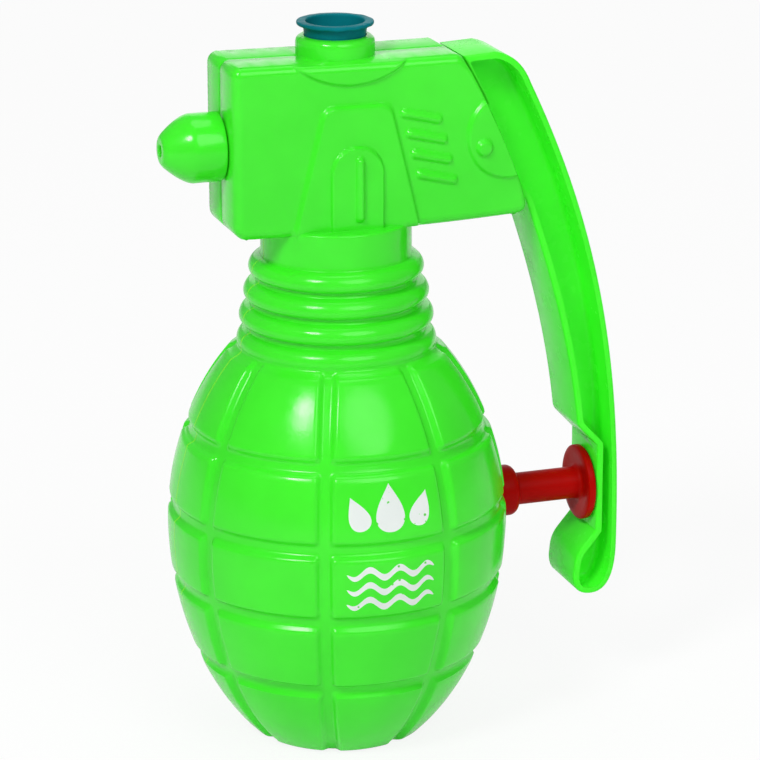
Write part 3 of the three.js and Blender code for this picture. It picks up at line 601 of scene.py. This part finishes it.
def bottleProfile():
    foot, low = eggSkin(0), bottle["baseRound"]
    profile = [(0, 0), (foot / 2, 0)]
    profile += quadratic((foot - low, 0), (foot + bottle["baseOver"], 0), (eggSkin(low), low), steps=5)
    profile += eggRows() + beadPoints()
    neck, top, edge = bottle["neckRadius"], bottle["neckTop"], bottle["neckEdge"]
    beadTop = bottle["top"] + len(bottle["beadCrowns"]) * bottle["beadPitch"]
    profile += [(neck, beadTop + bottle["neckFoot"]), (neck, (beadTop + top) / 2)]
    profile += quadratic((neck, top - edge), (neck, top), (neck - edge, top), steps=4)
    return profile + [(bottle["mouth"], top)] + bottleLining()


# Columns crowd into the grooves, and those at the seam stay there
def crowdedAngle(x, y):
    angle = math.atan2(y, x) % fullTurn
    if y > -tiny:
        angle = math.pi if x < 0 else fullTurn
    pitch = fullTurn / bottle["meridians"]
    cell = math.floor(angle / pitch)
    local = (angle / pitch - cell - 0.5) * 2
    keep = 1 - bottle["crowding"]
    local = keep * local + (1 - keep) * local ** 3
    return (cell + 0.5 + local / 2) * pitch


# Where a point of the plain half goes when the grooves sink its skin
def panelPoint(x, y, z):
    radius, angle = math.hypot(x, y), crowdedAngle(x, y)
    low, shoulder = bottle["baseRound"], bottle["shoulder"]
    slack, gap = bottle["skinSlack"], bottle["rowGap"]
    if low - slack < z < shoulder - gap / 2 and radius > eggSkin(z) - slack:
        return skinPoint(angle, z)
    footHalf = eggSkin(0) / 2
    if z < low and radius > footHalf:  # the grooves notch the edge of the base
        radius -= grooveDepth(angle, low) * (radius / footHalf - 1)
    overShoulder = shoulder - gap < z < shoulder + bottle["grooveEnd"]
    if overShoulder and radius > bottle["beadCrowns"][-1]:
        radius -= grooveDepth(angle, z)
    return Vector((radius * math.cos(angle), radius * math.sin(angle), z))


# The near half, from the front seam round to the rear seam
def bottleHalf():
    bm = turnedUpright(bottleProfile(), bottle["columns"], math.pi)
    for vert in bm.verts:
        if math.hypot(vert.co.x, vert.co.y) < weldGap:  # on the axis
            continue
        vert.co = panelPoint(*vert.co)
        sway = noise.noise(vert.co * bottle["swayScale"]) * bottle["unevenness"]
        outward = Vector((vert.co.x, vert.co.y, 0)).normalized()
        vert.co += outward * sway * smooth(-vert.co.y, 0, bottle["swayFade"])
    bmesh.ops.edgeloop_fill(bm, edges=[edge for edge in bm.edges if edge.is_boundary])
    bmesh.ops.recalc_face_normals(bm, faces=bm.faces)
    bmesh.ops.translate(bm, vec=(0, -bottle["seam"], 0), verts=bm.verts)
    half = toObject(bm, "shellLeft")
    start, end = ((x, 0, pumpHeight) for x in bottle["holeRun"])
    combine(half, rodSolid(start, end, bottle["pumpHole"]), "DIFFERENCE")
    return half


# Head: flat-sided box with raised ornament, hollow, open behind for the lever

head = {
    "half": 11.1, "front": -27.4, "bottom": 124, "top": 162.35, "wall": 1.8,
    "rearTop": 26.6, "rearLow": (42.7, 127.2), "rearBow": 1.8, "rearCorner": 3.2, "footBulge": 0.9,
    "frontLowRound": 3.2, "frontTopRound": 2.4, "rearTopRound": 1.2,
    "edgeRound": 2.1, "rearEdgeRound": 0.7, "edgePoints": 900, "sharpFade": (2, 5), "reliefFade": 0.5,
    "ledgeHalf": 13.4, "ledgeFlare": 0.35, "ledgeRise": 1.5, "ledgeFade": 2, "frontFlare": 0.5,
    "flareFrom": 10, "footSag": 1.0, "sagMiddle": 6, "sagReach": 36,
    "columns": 230, "straightColumns": 0.66, "straightTo": 18, "rows": 170, "rowCrowding": 0.8,
    "seam": 0.16, "seamLip": 0.9, "seamTurn": 0.15, "seamGroove": 0.55,
    "unevenness": 0.05, "swayScale": 0.07,
    "bulkhead": (22, 24), "pocketFloor": 36, "cutPast": 2, "cutOverlap": 1, "cutFar": 60,
    "nozzleHole": 6.2, "nozzleCut": (-3, 4),
    "fillerRadius": 9, "fillerTop": 166.75, "fillerBore": 7.15, "fillerRound": 1.8,
    "fillerFillet": 0.35, "fillerSkirt": 0.1, "fillerSink": 1,
}

ornament = {
    "panelFoot": (-13.8, 16.4), "panelTop": (-6.3, 9.3), "panelHigh": 152.4, "panelRise": 1.1,
    "panelCorner": 2.2,
    "archMiddle": 1.1, "archHalf": 6.4, "archSpring": 137.2, "archRise": 2.0,
    "ribX": 1.5, "ribHalf": 1.15, "ribLow": 127.9, "ribHigh": 140.2, "ribRise": 3.3,
    "crescentRadius": 20.5, "crescentLow": 157.3, "reliefRise": 0.95,
    "discMiddle": (37.9, 143.2), "discRadius": 10, "bumpRadius": 2.1, "bumpRise": 2.1,
    "vents": 4, "ventStart": (12.8, 149.9), "ventStep": (1.23, -4.73), "ventRun": (8, -1.9),
    "ventHalf": 1.2, "ventRise": 1.0,
    "soft": 1.0, "fineSoft": 0.95,
}


# The rear edge at a height: a round foot, then a bowed slope up to a round top
def headRear(z):
    low, top = head["rearLow"], (head["rearTop"], head["top"])
    if z < low[1]:
        t = math.sqrt(max(0, z - head["bottom"]) / (low[1] - head["bottom"]))
        return bend(low[0] - head["rearCorner"], low[0] + head["footBulge"], low[0], t)
    chord = Vector((top[0] - low[0], top[1] - low[1])).normalized()
    bow = (Vector(low) + Vector(top)) / 2 + Vector((chord.y, -chord.x)) * head["rearBow"]
    a = low[1] - 2 * bow.y + top[1]
    b = 2 * (bow.y - low[1])
    c = low[1] - min(z, top[1])
    t = -c / b if abs(a) < tiny else (-b + math.sqrt(b * b - 4 * a * c)) / (2 * a)
    above = max(0, z - top[1] + head["rearTopRound"])
    return bend(low[0], bow.x, top[0], t) - fall(head["rearTopRound"], above)


def headFront(z):
    below = head["bottom"] + head["frontLowRound"] - z
    above = z - head["top"] + head["frontTopRound"]
    if below > 0:
        return head["front"] + fall(head["frontLowRound"], below)
    return head["front"] + fall(head["frontTopRound"], max(0, above))


# Dense points round the head's side view, to measure the distance to its edge, but none over the neck,
# and how far each takes the crisper edge of the rear
def headEdge():
    low, top, count = head["bottom"], head["top"], head["edgePoints"]
    foot = head["rearLow"][1]
    under, over = head["sharpFade"]
    points = []
    for i in range(count + 1):
        z = low + (top - low) * i / count
        sharp = smooth(z, foot - under, foot + over) * (1 - smooth(z, top - over, top))
        points += [(headFront(z), 0, z), (headRear(z), sharp, z)]
    for z in (low, top):
        left, right = headFront(z), headRear(z)
        row = [left + (right - left) * i / count for i in range(count + 1)]
        points += [(x, 0, z) for x in row if z == top or abs(x) > head["ledgeHalf"]]
    return nearTree([(x, 0, z) for x, sharp, z in points]), [sharp for x, sharp, z in points]


def insideLine(x, z, start, end):
    along = Vector((end[0] - start[0], end[1] - start[1])).normalized()
    return (x - start[0]) * along.y - (z - start[1]) * along.x


def insideDisc(x, z, middle, radius):
    return radius - math.hypot(x - middle[0], z - middle[1])


def insideBar(x, z, start, end, half):
    a, b, p = Vector(start), Vector(end), Vector((x, z))
    t = min(1, max(0, (p - a).dot(b - a) / (b - a).length_squared))
    return half - (p - a - (b - a) * t).length


def plateau(inside, rise, soft):
    return rise * smooth(inside, -soft / 2, soft / 2)


# A bar with a round back
def ridge(inside, half, rise):
    return rise * math.sin(math.pi / 2 * min(1, max(0, inside / half)))


# Height of the raised ornament over the head's side
def relief(x, z):
    o = ornament
    left, right = (
        insideLine(x, z, (foot, head["bottom"]), (top, o["panelHigh"]))
        for foot, top in zip(o["panelFoot"], o["panelTop"])
    )
    panel = softMin([left, -right, o["panelHigh"] - z], o["panelCorner"])
    arch = insideDisc(x, z, (o["archMiddle"], min(z, o["archSpring"])), o["archHalf"])
    heights = [plateau(panel, o["panelRise"], o["soft"]), plateau(arch, o["archRise"], o["soft"])]
    rib = insideBar(x, z, (o["ribX"], o["ribLow"]), (o["ribX"], o["ribHigh"]), o["ribHalf"])
    if rib > 0:
        heights.append(o["archRise"] + ridge(rib, o["ribHalf"], o["ribRise"] - o["archRise"]))
    crescentMiddle = (0, o["crescentLow"] + o["crescentRadius"])
    crescent = insideDisc(x, z, crescentMiddle, o["crescentRadius"])
    disc = insideDisc(x, z, o["discMiddle"], o["discRadius"])
    heights += [plateau(inside, o["reliefRise"], o["fineSoft"]) for inside in (crescent, disc)]
    bump = insideDisc(x, z, pivot, o["bumpRadius"])
    heights.append(plateau(bump, o["bumpRise"], 2 * o["fineSoft"]))
    for vent in range(o["vents"]):
        start = Vector(o["ventStart"]) + Vector(o["ventStep"]) * vent
        bar = insideBar(x, z, start, start + Vector(o["ventRun"]), o["ventHalf"])
        heights.append(ridge(bar, o["ventHalf"], o["ventRise"]))
    return max(heights)


# Columns stand upright in front and lean with the rear edge behind
def headColumn(u, z):
    straight = head["straightColumns"]
    if u < straight:
        share = u / straight
        return headFront(z) * (1 - share) + head["straightTo"] * share
    share = (u - straight) / (1 - straight)
    return head["straightTo"] * (1 - share) + headRear(z) * share


# The near side, with its round edge and its ornament
def headSide():
    tree, sharpness = headEdge()
    bm = bmesh.new()
    bmesh.ops.create_grid(bm, x_segments=head["columns"], y_segments=head["rows"], size=1)
    for vert in bm.verts:
        u, v = (vert.co.x + 1) / 2, (vert.co.y + 1) / 2
        v -= head["rowCrowding"] * math.sin(fullTurn * v) / fullTurn
        z = head["bottom"] + (head["top"] - head["bottom"]) * v
        x = headColumn(u, z)
        _, index, distance = tree.find((x, 0, z))
        edge = head["edgeRound"] + (head["rearEdgeRound"] - head["edgeRound"]) * sharpness[index]
        drop = fall(edge, max(0, edge - distance))
        sway = noise.noise(Vector((x, 0, z)) * head["swayScale"]) * head["unevenness"]
        ledge = max(0, 1 - (z - head["bottom"]) / head["ledgeRise"]) ** 2
        flare = head["ledgeFlare"] * (ledge * smooth(distance, 0, head["ledgeFade"]))
        rise = relief(x, z) * smooth(distance, 0, head["reliefFade"]) + flare
        forward = max(0, (head["flareFrom"] - x) / (head["flareFrom"] - head["front"]))
        sag = max(0, 1 - ((x - head["sagMiddle"]) / head["sagReach"]) ** 2)
        z += head["frontFlare"] * forward * (2 * v - 1)
        z -= head["footSag"] * (1 - v) ** 4 * sag
        vert.co = (x, -(head["half"] - drop + rise + sway), z)
    return bm


# The wall runs in to the seam and turns over into its groove
def closeToSeam(bm):
    middleX, middleZ = (head["front"] + head["rearLow"][0]) / 2, (head["bottom"] + head["top"]) / 2
    halfX, halfZ = middleX - head["front"], middleZ - head["bottom"]
    lip = head["seamLip"]
    rim = [edge for edge in bm.edges if edge.is_boundary]
    for y, draw in ((lip, 0), (lip / 2, head["seamTurn"]), (head["seam"], head["seamGroove"])):
        grown = bmesh.ops.extrude_edge_only(bm, edges=rim)["geom"]
        rim = [g for g in grown if isinstance(g, bmesh.types.BMEdge) and g.is_boundary]
        for vert in (g for g in grown if isinstance(g, bmesh.types.BMVert)):
            vert.co.y = -y
            vert.co.x = middleX + (vert.co.x - middleX) * (1 - draw / halfX)
            vert.co.z = middleZ + (vert.co.z - middleZ) * (1 - draw / halfZ)
    bmesh.ops.edgeloop_fill(bm, edges=rim)
    bmesh.ops.recalc_face_normals(bm, faces=bm.faces)


# Half of the filler's neck, with a fillet on the head's top
def fillerNeck():
    radius, top, edge = head["fillerRadius"], head["fillerTop"], head["fillerRound"]
    fillet, foot = head["fillerFillet"], head["top"]
    sunk, skirt = foot - head["fillerSink"], foot - head["fillerSkirt"]
    profile = [(0, sunk), (radius + fillet, sunk)]
    profile += quadratic((radius + fillet, skirt), (radius, skirt), (radius, foot + fillet), steps=6)
    profile += quadratic((radius, top - edge), (radius, top), (radius - edge, top), steps=6)
    profile += [(0, top)]
    bm = turnedUpright(profile, roundSides // 2, math.pi)
    bmesh.ops.translate(bm, vec=(0, -head["seam"], 0), verts=bm.verts)
    bmesh.ops.holes_fill(bm, edges=bm.edges)
    bmesh.ops.recalc_face_normals(bm, faces=bm.faces)
    return toObject(bm, "fillerNeck")


# Rooms before and behind the bulkhead, the lever's way out, the filler's bore and the nozzle's hole
def hollowHead(half):
    wall, past, far = head["wall"], head["cutPast"], head["cutFar"]
    inner, floor, roof = head["half"] - wall, head["bottom"] + wall, head["top"] - wall
    front, rear = head["bulkhead"]
    below, over = head["bottom"] - past, floor + head["cutOverlap"]
    start, end = ((head["front"] + reach, 0, nozzleHeight) for reach in head["nozzleCut"])
    cuts = [
        boxSolid((head["front"] + wall, -inner, floor), (front, past, roof)),
        boxSolid((rear, -inner, floor), (far, past, roof)),
        boxSolid((head["pocketFloor"], -inner, below), (far, past, over)),
        rodSolid((0, 0, roof - past), (0, 0, head["fillerTop"] + past), head["fillerBore"]),
        rodSolid(start, end, head["nozzleHole"]),
    ]
    for cut in cuts:
        combine(half, cut, "DIFFERENCE")


def headHalf():
    bm = headSide()
    closeToSeam(bm)
    half = toObject(bm, "headHalf")
    combine(half, fillerNeck(), "UNION")
    hollowHead(half)
    return half


def makeShells():
    left = bottleHalf()
    combine(left, headHalf(), "UNION")
    bm = bmesh.new()
    bm.from_mesh(left.data)
    bmesh.ops.scale(bm, vec=(1, -1, 1), verts=bm.verts)
    bmesh.ops.reverse_faces(bm, faces=bm.faces)
    right = toObject(bm, "shellRight")
    finishPiece(left, "green_plastic", "body", "shell_left", "shellPlastic")
    finishPiece(right, "green_plastic", "body", "shell_right", "shellPlastic")


makeShells()


# Nozzle

snout = {
    "shoulder": -27.7, "shoulderEdge": 0.4, "taperStart": -34.3, "tip": -41.4, "radius": 7.9,
    "tipRadius": 3.3, "tipEdge": 0.6, "tipBow": 0.1, "tipStep": 0.5, "tipSkip": 1.15,
    "ogive": 1.5, "steps": 16, "orifice": 1.3, "orificeEdge": 0.4, "orificeDepth": 7,
    "spigot": 6.0, "spigotEnd": -24.9,
}


def makeNozzle():
    s = snout
    tip, hole, mouth, edge = s["tip"], s["orifice"], s["orificeEdge"], s["tipEdge"]
    profile = [(tip + s["orificeDepth"], 0), (tip + s["orificeDepth"], hole)]
    profile += quadratic((tip + mouth, hole), (tip, hole), (tip, hole + mouth), steps=4)
    profile += quadratic((tip, s["tipRadius"] - edge), (tip, s["tipRadius"] - s["tipBow"]),
                         (tip + edge, s["tipRadius"] + s["tipStep"]), steps=5)
    length = s["taperStart"] - tip
    for i in range(s["steps"] + 1):
        share = (1 - i / s["steps"]) * (1 - edge / length * s["tipSkip"])
        radius = s["radius"] - (s["radius"] - s["tipRadius"]) * share ** s["ogive"]
        profile.append((s["taperStart"] - length * share, radius))
    rear, outer, lip = s["shoulder"], s["radius"], s["shoulderEdge"]
    profile += quadratic((rear - lip, outer), (rear, outer), (rear, outer - lip), steps=4)
    profile += [(rear, s["spigot"]), (s["spigotEnd"], s["spigot"]), (s["spigotEnd"], 0)]
    bm = turnedAlongX(profile, nozzleHeight)
    finishPiece(toObject(bm, "nozzleSnout"), "green_plastic", "body", "nozzle")


makeNozzle()


# Squeeze lever: a long I section, recessed on both sides

handle = {
    "half": 8.3, "rim": 1.4, "frontRim": 0.5, "draft": 0.4, "web": 1.0, "floorFillet": 1.2,
    "filletSteps": 5, "edge": 0.55, "outlineStep": 2, "insetKeep": 0.96, "hollowPast": 1,
    "topFront": (27.9, 161.4), "crown": (35.8, 161.8), "crownBend": (41.9, 160.6),
    "shoulder": (44.5, 154.0), "back": ((64.1, 114.1), (68.5, 79.9), (68.05, 40.0)),
    "bottom": 27.1, "toe": 61.7, "hook": 57.0, "hookRise": 32.1,
    "lowLip": (57.5, 37.2), "lowRound": 2.6, "pocketLow": 43.2, "pocketHigh": 64.6, "pocketWall": 62.6,
    "highLip": (57.5, 70.0), "highRound": 1.0, "innerBend": (54.5, 96.5), "neck": (43.5, 126.5),
    "boss": 5.0, "bossTurn": (-0.29, -1.39), "bore": 2.3, "boreReach": 20, "follow": (33.85, 149.9),
}


def roundCorner(before, corner, after, length, steps):
    corner = Vector(corner)
    start = corner + (Vector(before) - corner).normalized() * length
    end = corner + (Vector(after) - corner).normalized() * length
    return quadratic(start, corner, end, steps)


# The side view; the line behind the head can be moved forwards
def leverOutline(forwards=0):
    h = handle
    backEnd, toe, heel = h["back"][2], (h["toe"], h["bottom"]), (h["hook"], h["bottom"])
    low, high = (h["pocketWall"], h["pocketLow"]), (h["pocketWall"], h["pocketHigh"])
    points = [(h["topFront"][0] - forwards, h["topFront"][1])]
    points += quadratic(h["crown"], h["crownBend"], h["shoulder"], steps=10)
    points += cubic(h["shoulder"], *h["back"], steps=60)[1:]
    points += quadratic(backEnd, (backEnd[0], h["bottom"]), toe, steps=12)[1:]
    points += quadratic(toe, heel, (h["hook"], h["hookRise"]), steps=10)[1:]
    points += roundCorner(points[-1], h["lowLip"], low, h["lowRound"], steps=8)
    points += [low, high]
    points += roundCorner(high, h["highLip"], h["innerBend"], h["highRound"], steps=6)
    points += quadratic(points[-1], h["innerBend"], h["neck"], steps=36)[1:]
    start, stop = (turn * math.pi for turn in h["bossTurn"])
    points += arc(*pivot, h["boss"], start, stop, steps=20)
    points += [(h["follow"][0] - forwards, h["follow"][1])]
    return points


# Points no further apart than a step along a closed outline
def evenly(points, step):
    dense = []
    for start, end in zip(points, points[1:] + points[:1]):
        start, end = Vector(start), Vector(end)
        count = max(1, math.ceil((end - start).length / step))
        dense += [start.lerp(end, i / count) for i in range(count)]
    return dense


# The outline drawn in by an inset, without the places where two sides are closer than twice the inset
def insetOutline(points, inset):
    dense = evenly(points, inset / 2)
    tree = nearTree([(*point, 0) for point in dense])
    inner = []
    for i, point in enumerate(dense):
        along = (dense[(i + 1) % len(dense)] - dense[i - 1]).normalized()
        moved = point + inset * Vector((along.y, -along.x))
        if tree.find((*moved, 0))[2] > handle["insetKeep"] * inset:
            inner.append(moved)
    return inner


# The hollow in one side, drawn in towards its floor and rounded into it
def leverHollow(side):
    h = handle
    points = leverOutline(h["rim"] - h["frontRim"])
    rings = [(h["rim"], h["half"] + h["hollowPast"])]
    for i in range(h["filletSteps"] + 1):
        turn = math.pi / 2 * i / h["filletSteps"]
        inset = h["rim"] + h["draft"] + h["floorFillet"] * (1 - math.cos(turn))
        rings.append((inset, h["web"] + h["floorFillet"] * (1 - math.sin(turn))))
    bm = bmesh.new()
    loops = []
    for inset, y in rings:
        verts = [bm.verts.new((x, side * y, z)) for x, z in insetOutline(points, inset)]
        loops.append([bm.edges.new(pair) for pair in zip(verts, verts[1:] + verts[:1])])
    for near, deep in zip(loops, loops[1:]):
        bmesh.ops.bridge_loops(bm, edges=near + deep)
    for rim in (loops[0], loops[-1]):
        bmesh.ops.edgeloop_fill(bm, edges=rim)
    bmesh.ops.recalc_face_normals(bm, faces=bm.faces)
    return toObject(bm, "hollow")


def acrossPivot(reach, radius):
    x, z = pivot
    return rodSolid((x, -reach, z), (x, reach, z), radius)


def makeLever():
    h = handle
    outline = evenly(leverOutline(), h["outlineStep"])
    bm = bmesh.new()
    outer = bm.faces.new([bm.verts.new((x, -h["half"], z)) for x, z in outline])
    grown = bmesh.ops.extrude_face_region(bm, geom=[outer])["geom"]
    moved = [g for g in grown if isinstance(g, bmesh.types.BMVert)]
    bmesh.ops.translate(bm, vec=(0, 2 * h["half"], 0), verts=moved)
    bmesh.ops.recalc_face_normals(bm, faces=bm.faces)
    rims = [edge for edge in bm.edges if edge.verts[0].co.y == edge.verts[1].co.y]
    bmesh.ops.bevel(
        bm, geom=rims, offset=h["edge"], segments=3, profile=0.5, affect="EDGES", material=-1
    )
    lever = toObject(bm, "squeezeLever")
    for side in (-1, 1):
        combine(lever, leverHollow(side), "DIFFERENCE")
    combine(lever, acrossPivot(h["half"], h["boss"]), "UNION")
    combine(lever, acrossPivot(h["boreReach"], h["bore"]), "DIFFERENCE")
    # The lever's lighter green is painted light on its shaded hollows
    finishPiece(lever, "green_plastic", "squeeze_lever", "lever", "thinPlasticPaintedLight")


makeLever()


# Plunger, its collar and the filler's stopper

ram = {
    "rod": 3.85, "discFront": 60.3, "discRear": 62.3, "disc": 9, "discEdge": 0.55,
    "dish": 0.35, "dishRim": 2, "fillet": 1.0,
    "pistonNose": 17, "noseRadius": 2.5, "pistonFront": 20, "pistonRear": 24.5, "piston": 4.6,
    "ringFront": 21.05, "ringRear": 23.45, "ringFloor": 3.4,
}

collar = {
    "front": 37.3, "rear": 44.5, "radius": 6.1, "round": 1.9, "edge": 0.5,
    "inner": 5.5, "rodHole": 4.15, "endWall": 42.9,
}

stopper = {
    "bottom": 157.4, "top": 170, "flangeLow": 169.15, "seatTop": 166.4, "tip": 6.2, "tipRound": 0.6,
    "seat": 6.95, "collar": 7.3, "fillet": 0.3, "flange": 8.8, "edge": 0.4, "wall": 0.65, "lipRound": 0.5,
    "sides": 120, "slack": 0.2, "waver": 0.3, "waverScale": 0.25, "waverShrink": 0.05,
}


def makePlunger():
    r = ram
    rod, disc, edge, fillet = r["rod"], r["disc"], r["discEdge"], r["fillet"]
    front, rear, dish = r["discFront"], r["discRear"], r["discFront"] + r["dish"]
    profile = [(r["pistonNose"], 0), (r["pistonNose"], r["noseRadius"])]
    profile += [(r["pistonFront"], r["noseRadius"]), (r["pistonFront"], r["piston"])]
    profile += [(r["ringFront"], r["piston"]), (r["ringFront"], r["ringFloor"])]
    profile += [(r["ringRear"], r["ringFloor"]), (r["ringRear"], r["piston"])]
    profile += [(r["pistonRear"], r["piston"]), (r["pistonRear"], rod)]
    profile += quadratic((dish - fillet, rod), (dish, rod), (dish, rod + fillet), steps=5)
    profile += quadratic((front, disc - r["dishRim"]), (front, disc), (front + edge, disc), steps=6)
    profile += quadratic((rear - edge, disc), (rear, disc), (rear, disc - edge), steps=5)
    profile += [(rear, 0)]
    bm = turnedAlongX(profile, pumpHeight)
    finishPiece(toObject(bm, "plungerRod"), "red_plastic", "plunger_rod", "plunger")


def makeCollar():
    c = collar
    front, radius, edge = c["front"], c["radius"], c["edge"]
    profile = [(front, c["inner"])]
    profile += quadratic((front, radius - edge), (front, radius), (front + edge, radius), steps=4)
    profile += arc(c["rear"] - c["round"], radius - c["round"], c["round"], math.pi / 2, 0, steps=10)
    profile += [(c["rear"], c["rodHole"]), (c["endWall"], c["rodHole"]), (c["endWall"], c["inner"])]
    bm = turnedAlongX(profile + profile[:1], pumpHeight)
    finishPiece(toObject(bm, "rodCollar"), "red_plastic", "body", "gland_cap")


def stopperProfile():
    s = stopper
    low, top, under, edge = s["bottom"], s["top"], s["flangeLow"], s["edge"]
    tip, tipRound, fillet, lipRound = s["tip"], s["tipRound"], s["fillet"], s["lipRound"]
    neck, flange, lip = s["collar"], s["flange"], s["collar"] - s["wall"]
    profile = [(0, low)]
    profile += quadratic((tip - tipRound, low), (tip, low), (tip, low + tipRound), steps=4)
    profile += [(s["seat"], s["seatTop"])]
    profile += quadratic((neck, under - fillet), (neck, under), (neck + fillet, under), steps=4)
    profile += quadratic((flange - edge, under), (flange, under), (flange, under + edge), steps=4)
    profile += quadratic((flange, top - edge), (flange, top), (flange - edge, top), steps=4)
    profile += quadratic((lip + lipRound, top), (lip, top), (lip, top - lipRound), steps=4)
    return profile + [(tip - s["wall"], low + s["wall"]), (0, low + s["wall"])]


# The flange is a little uneven, as trimmed by hand
def makeStopper():
    s = stopper
    bm = turnedUpright(stopperProfile(), s["sides"])
    for vert in bm.verts:
        radius = math.hypot(vert.co.x, vert.co.y)
        if radius > s["collar"] + s["slack"] and vert.co.z > s["flangeLow"] - s["slack"]:
            around = Vector((vert.co.x, vert.co.y, 0)) * s["waverScale"]
            uneven = abs(noise.noise(around) * s["waver"])
            share = (radius - s["collar"]) / (s["flange"] - s["collar"])
            vert.co.z -= uneven * share
            shrink = 1 - uneven * s["waverShrink"] * share
            vert.co.x *= shrink
            vert.co.y *= shrink
    finishPiece(toObject(bm, "fillerStopper"), "teal_plastic", "stopper", "filler_plug")


makePlunger()
makeCollar()
makeStopper()


# Plain white print on the middle panels: water drops above, waves below

prints = {
    "angle": -90, "upperZ": 66.0, "lowerZ": 47.9, "lift": 0.09, "sink": 0.3, "cell": 0.8,
    "drops": ((0, 0.4, 5.6, 0), (-7.6, -0.6, 4.1, 20), (7.6, -0.6, 4.1, -20)),  # across, up, size, tilt
    "dropSteps": 48, "dropWidth": 0.85, "dropTaper": 1.4,
    "waves": (3.6, 0, -3.6), "waveHalf": 10.5, "waveSwing": 1.0, "waveLength": 7.0,
    "waveThick": 0.75, "waveThin": 0.03, "waveSteps": 60,
}


def dropOutline(across, up, size, tilt):
    p = prints
    turn = Matrix.Rotation(math.radians(tilt), 2)
    points = []
    for i in range(p["dropSteps"]):
        a = fullTurn * i / p["dropSteps"]
        x = p["dropWidth"] * size * math.sin(a) * math.sin(a / 2) ** p["dropTaper"]
        y = size * math.cos(a)
        points.append(Vector((across, up)) + turn @ Vector((x, y)))
    return points


def waveOutline(up):
    p = prints
    upper, lower = [], []
    for i in range(p["waveSteps"] + 1):
        x = p["waveHalf"] * (2 * i / p["waveSteps"] - 1)
        y = up + p["waveSwing"] * math.sin(fullTurn * x / p["waveLength"])
        thick = p["waveThick"] * math.sqrt(max(0, 1 - (x / p["waveHalf"]) ** 4)) + p["waveThin"]
        upper.append((x, y + thick))
        lower.append((x, y - thick))
    return upper + lower[::-1]


# A flat mark cut into small cells and laid on the egg's skin
def printMark(bm, points, middleZ):
    p = prints
    flat = bmesh.new()
    flat.faces.new([flat.verts.new((x, y, 0)) for x, y in points])
    for axis in (0, 1):
        low = min(v.co[axis] for v in flat.verts)
        high = max(v.co[axis] for v in flat.verts)
        count = max(2, round((high - low) / p["cell"]))
        for i in range(1, count):
            place = Vector((0, 0, 0))
            place[axis] = low + (high - low) * i / count
            normal = Vector((axis == 0, axis == 1, 0))
            everything = flat.verts[:] + flat.edges[:] + flat.faces[:]
            bmesh.ops.bisect_plane(flat, geom=everything, dist=weldGap, plane_co=place, plane_no=normal)
    grown = bmesh.ops.extrude_face_region(flat, geom=flat.faces[:])["geom"]
    upper = {g for g in grown if isinstance(g, bmesh.types.BMVert)}
    bmesh.ops.recalc_face_normals(flat, faces=flat.faces)
    for vert in flat.verts:
        x, y, _ = vert.co
        z = middleZ + y * eggNormal(middleZ + y).x
        angle = math.radians(p["angle"]) + x / eggSkin(z)
        vert.co = skinPoint(angle % fullTurn, z, p["lift"] if vert in upper else -p["sink"])
    bmesh.ops.recalc_face_normals(flat, faces=flat.faces)
    mesh = bpy.data.meshes.new("mark")
    flat.to_mesh(mesh)
    flat.free()
    bm.from_mesh(mesh)
    bpy.data.meshes.remove(mesh)


def makePrint(name, outlines, middleZ):
    bm = bmesh.new()
    for outline in outlines:
        printMark(bm, outline, middleZ)
    finishPiece(toObject(bm, name), "white_print", "body")


makePrint("dropPrint", [dropOutline(*drop) for drop in prints["drops"]], prints["upperZ"])
makePrint("wavePrint", [waveOutline(up) for up in prints["waves"]], prints["lowerZ"])


# Inner pieces keep their solids and get their finish

def dressInnerPieces():
    slots = {part["node"]: part["material_slot"] for part in frame["record"]["subparts"]}
    for name, node in frame["nodes"].items():
        if node.hide_render:
            continue
        node.data.materials.clear()
        node.data.materials.append(finishes[slotFinish[slots[name]]])
        print("dressed", name)


dressInnerPieces()
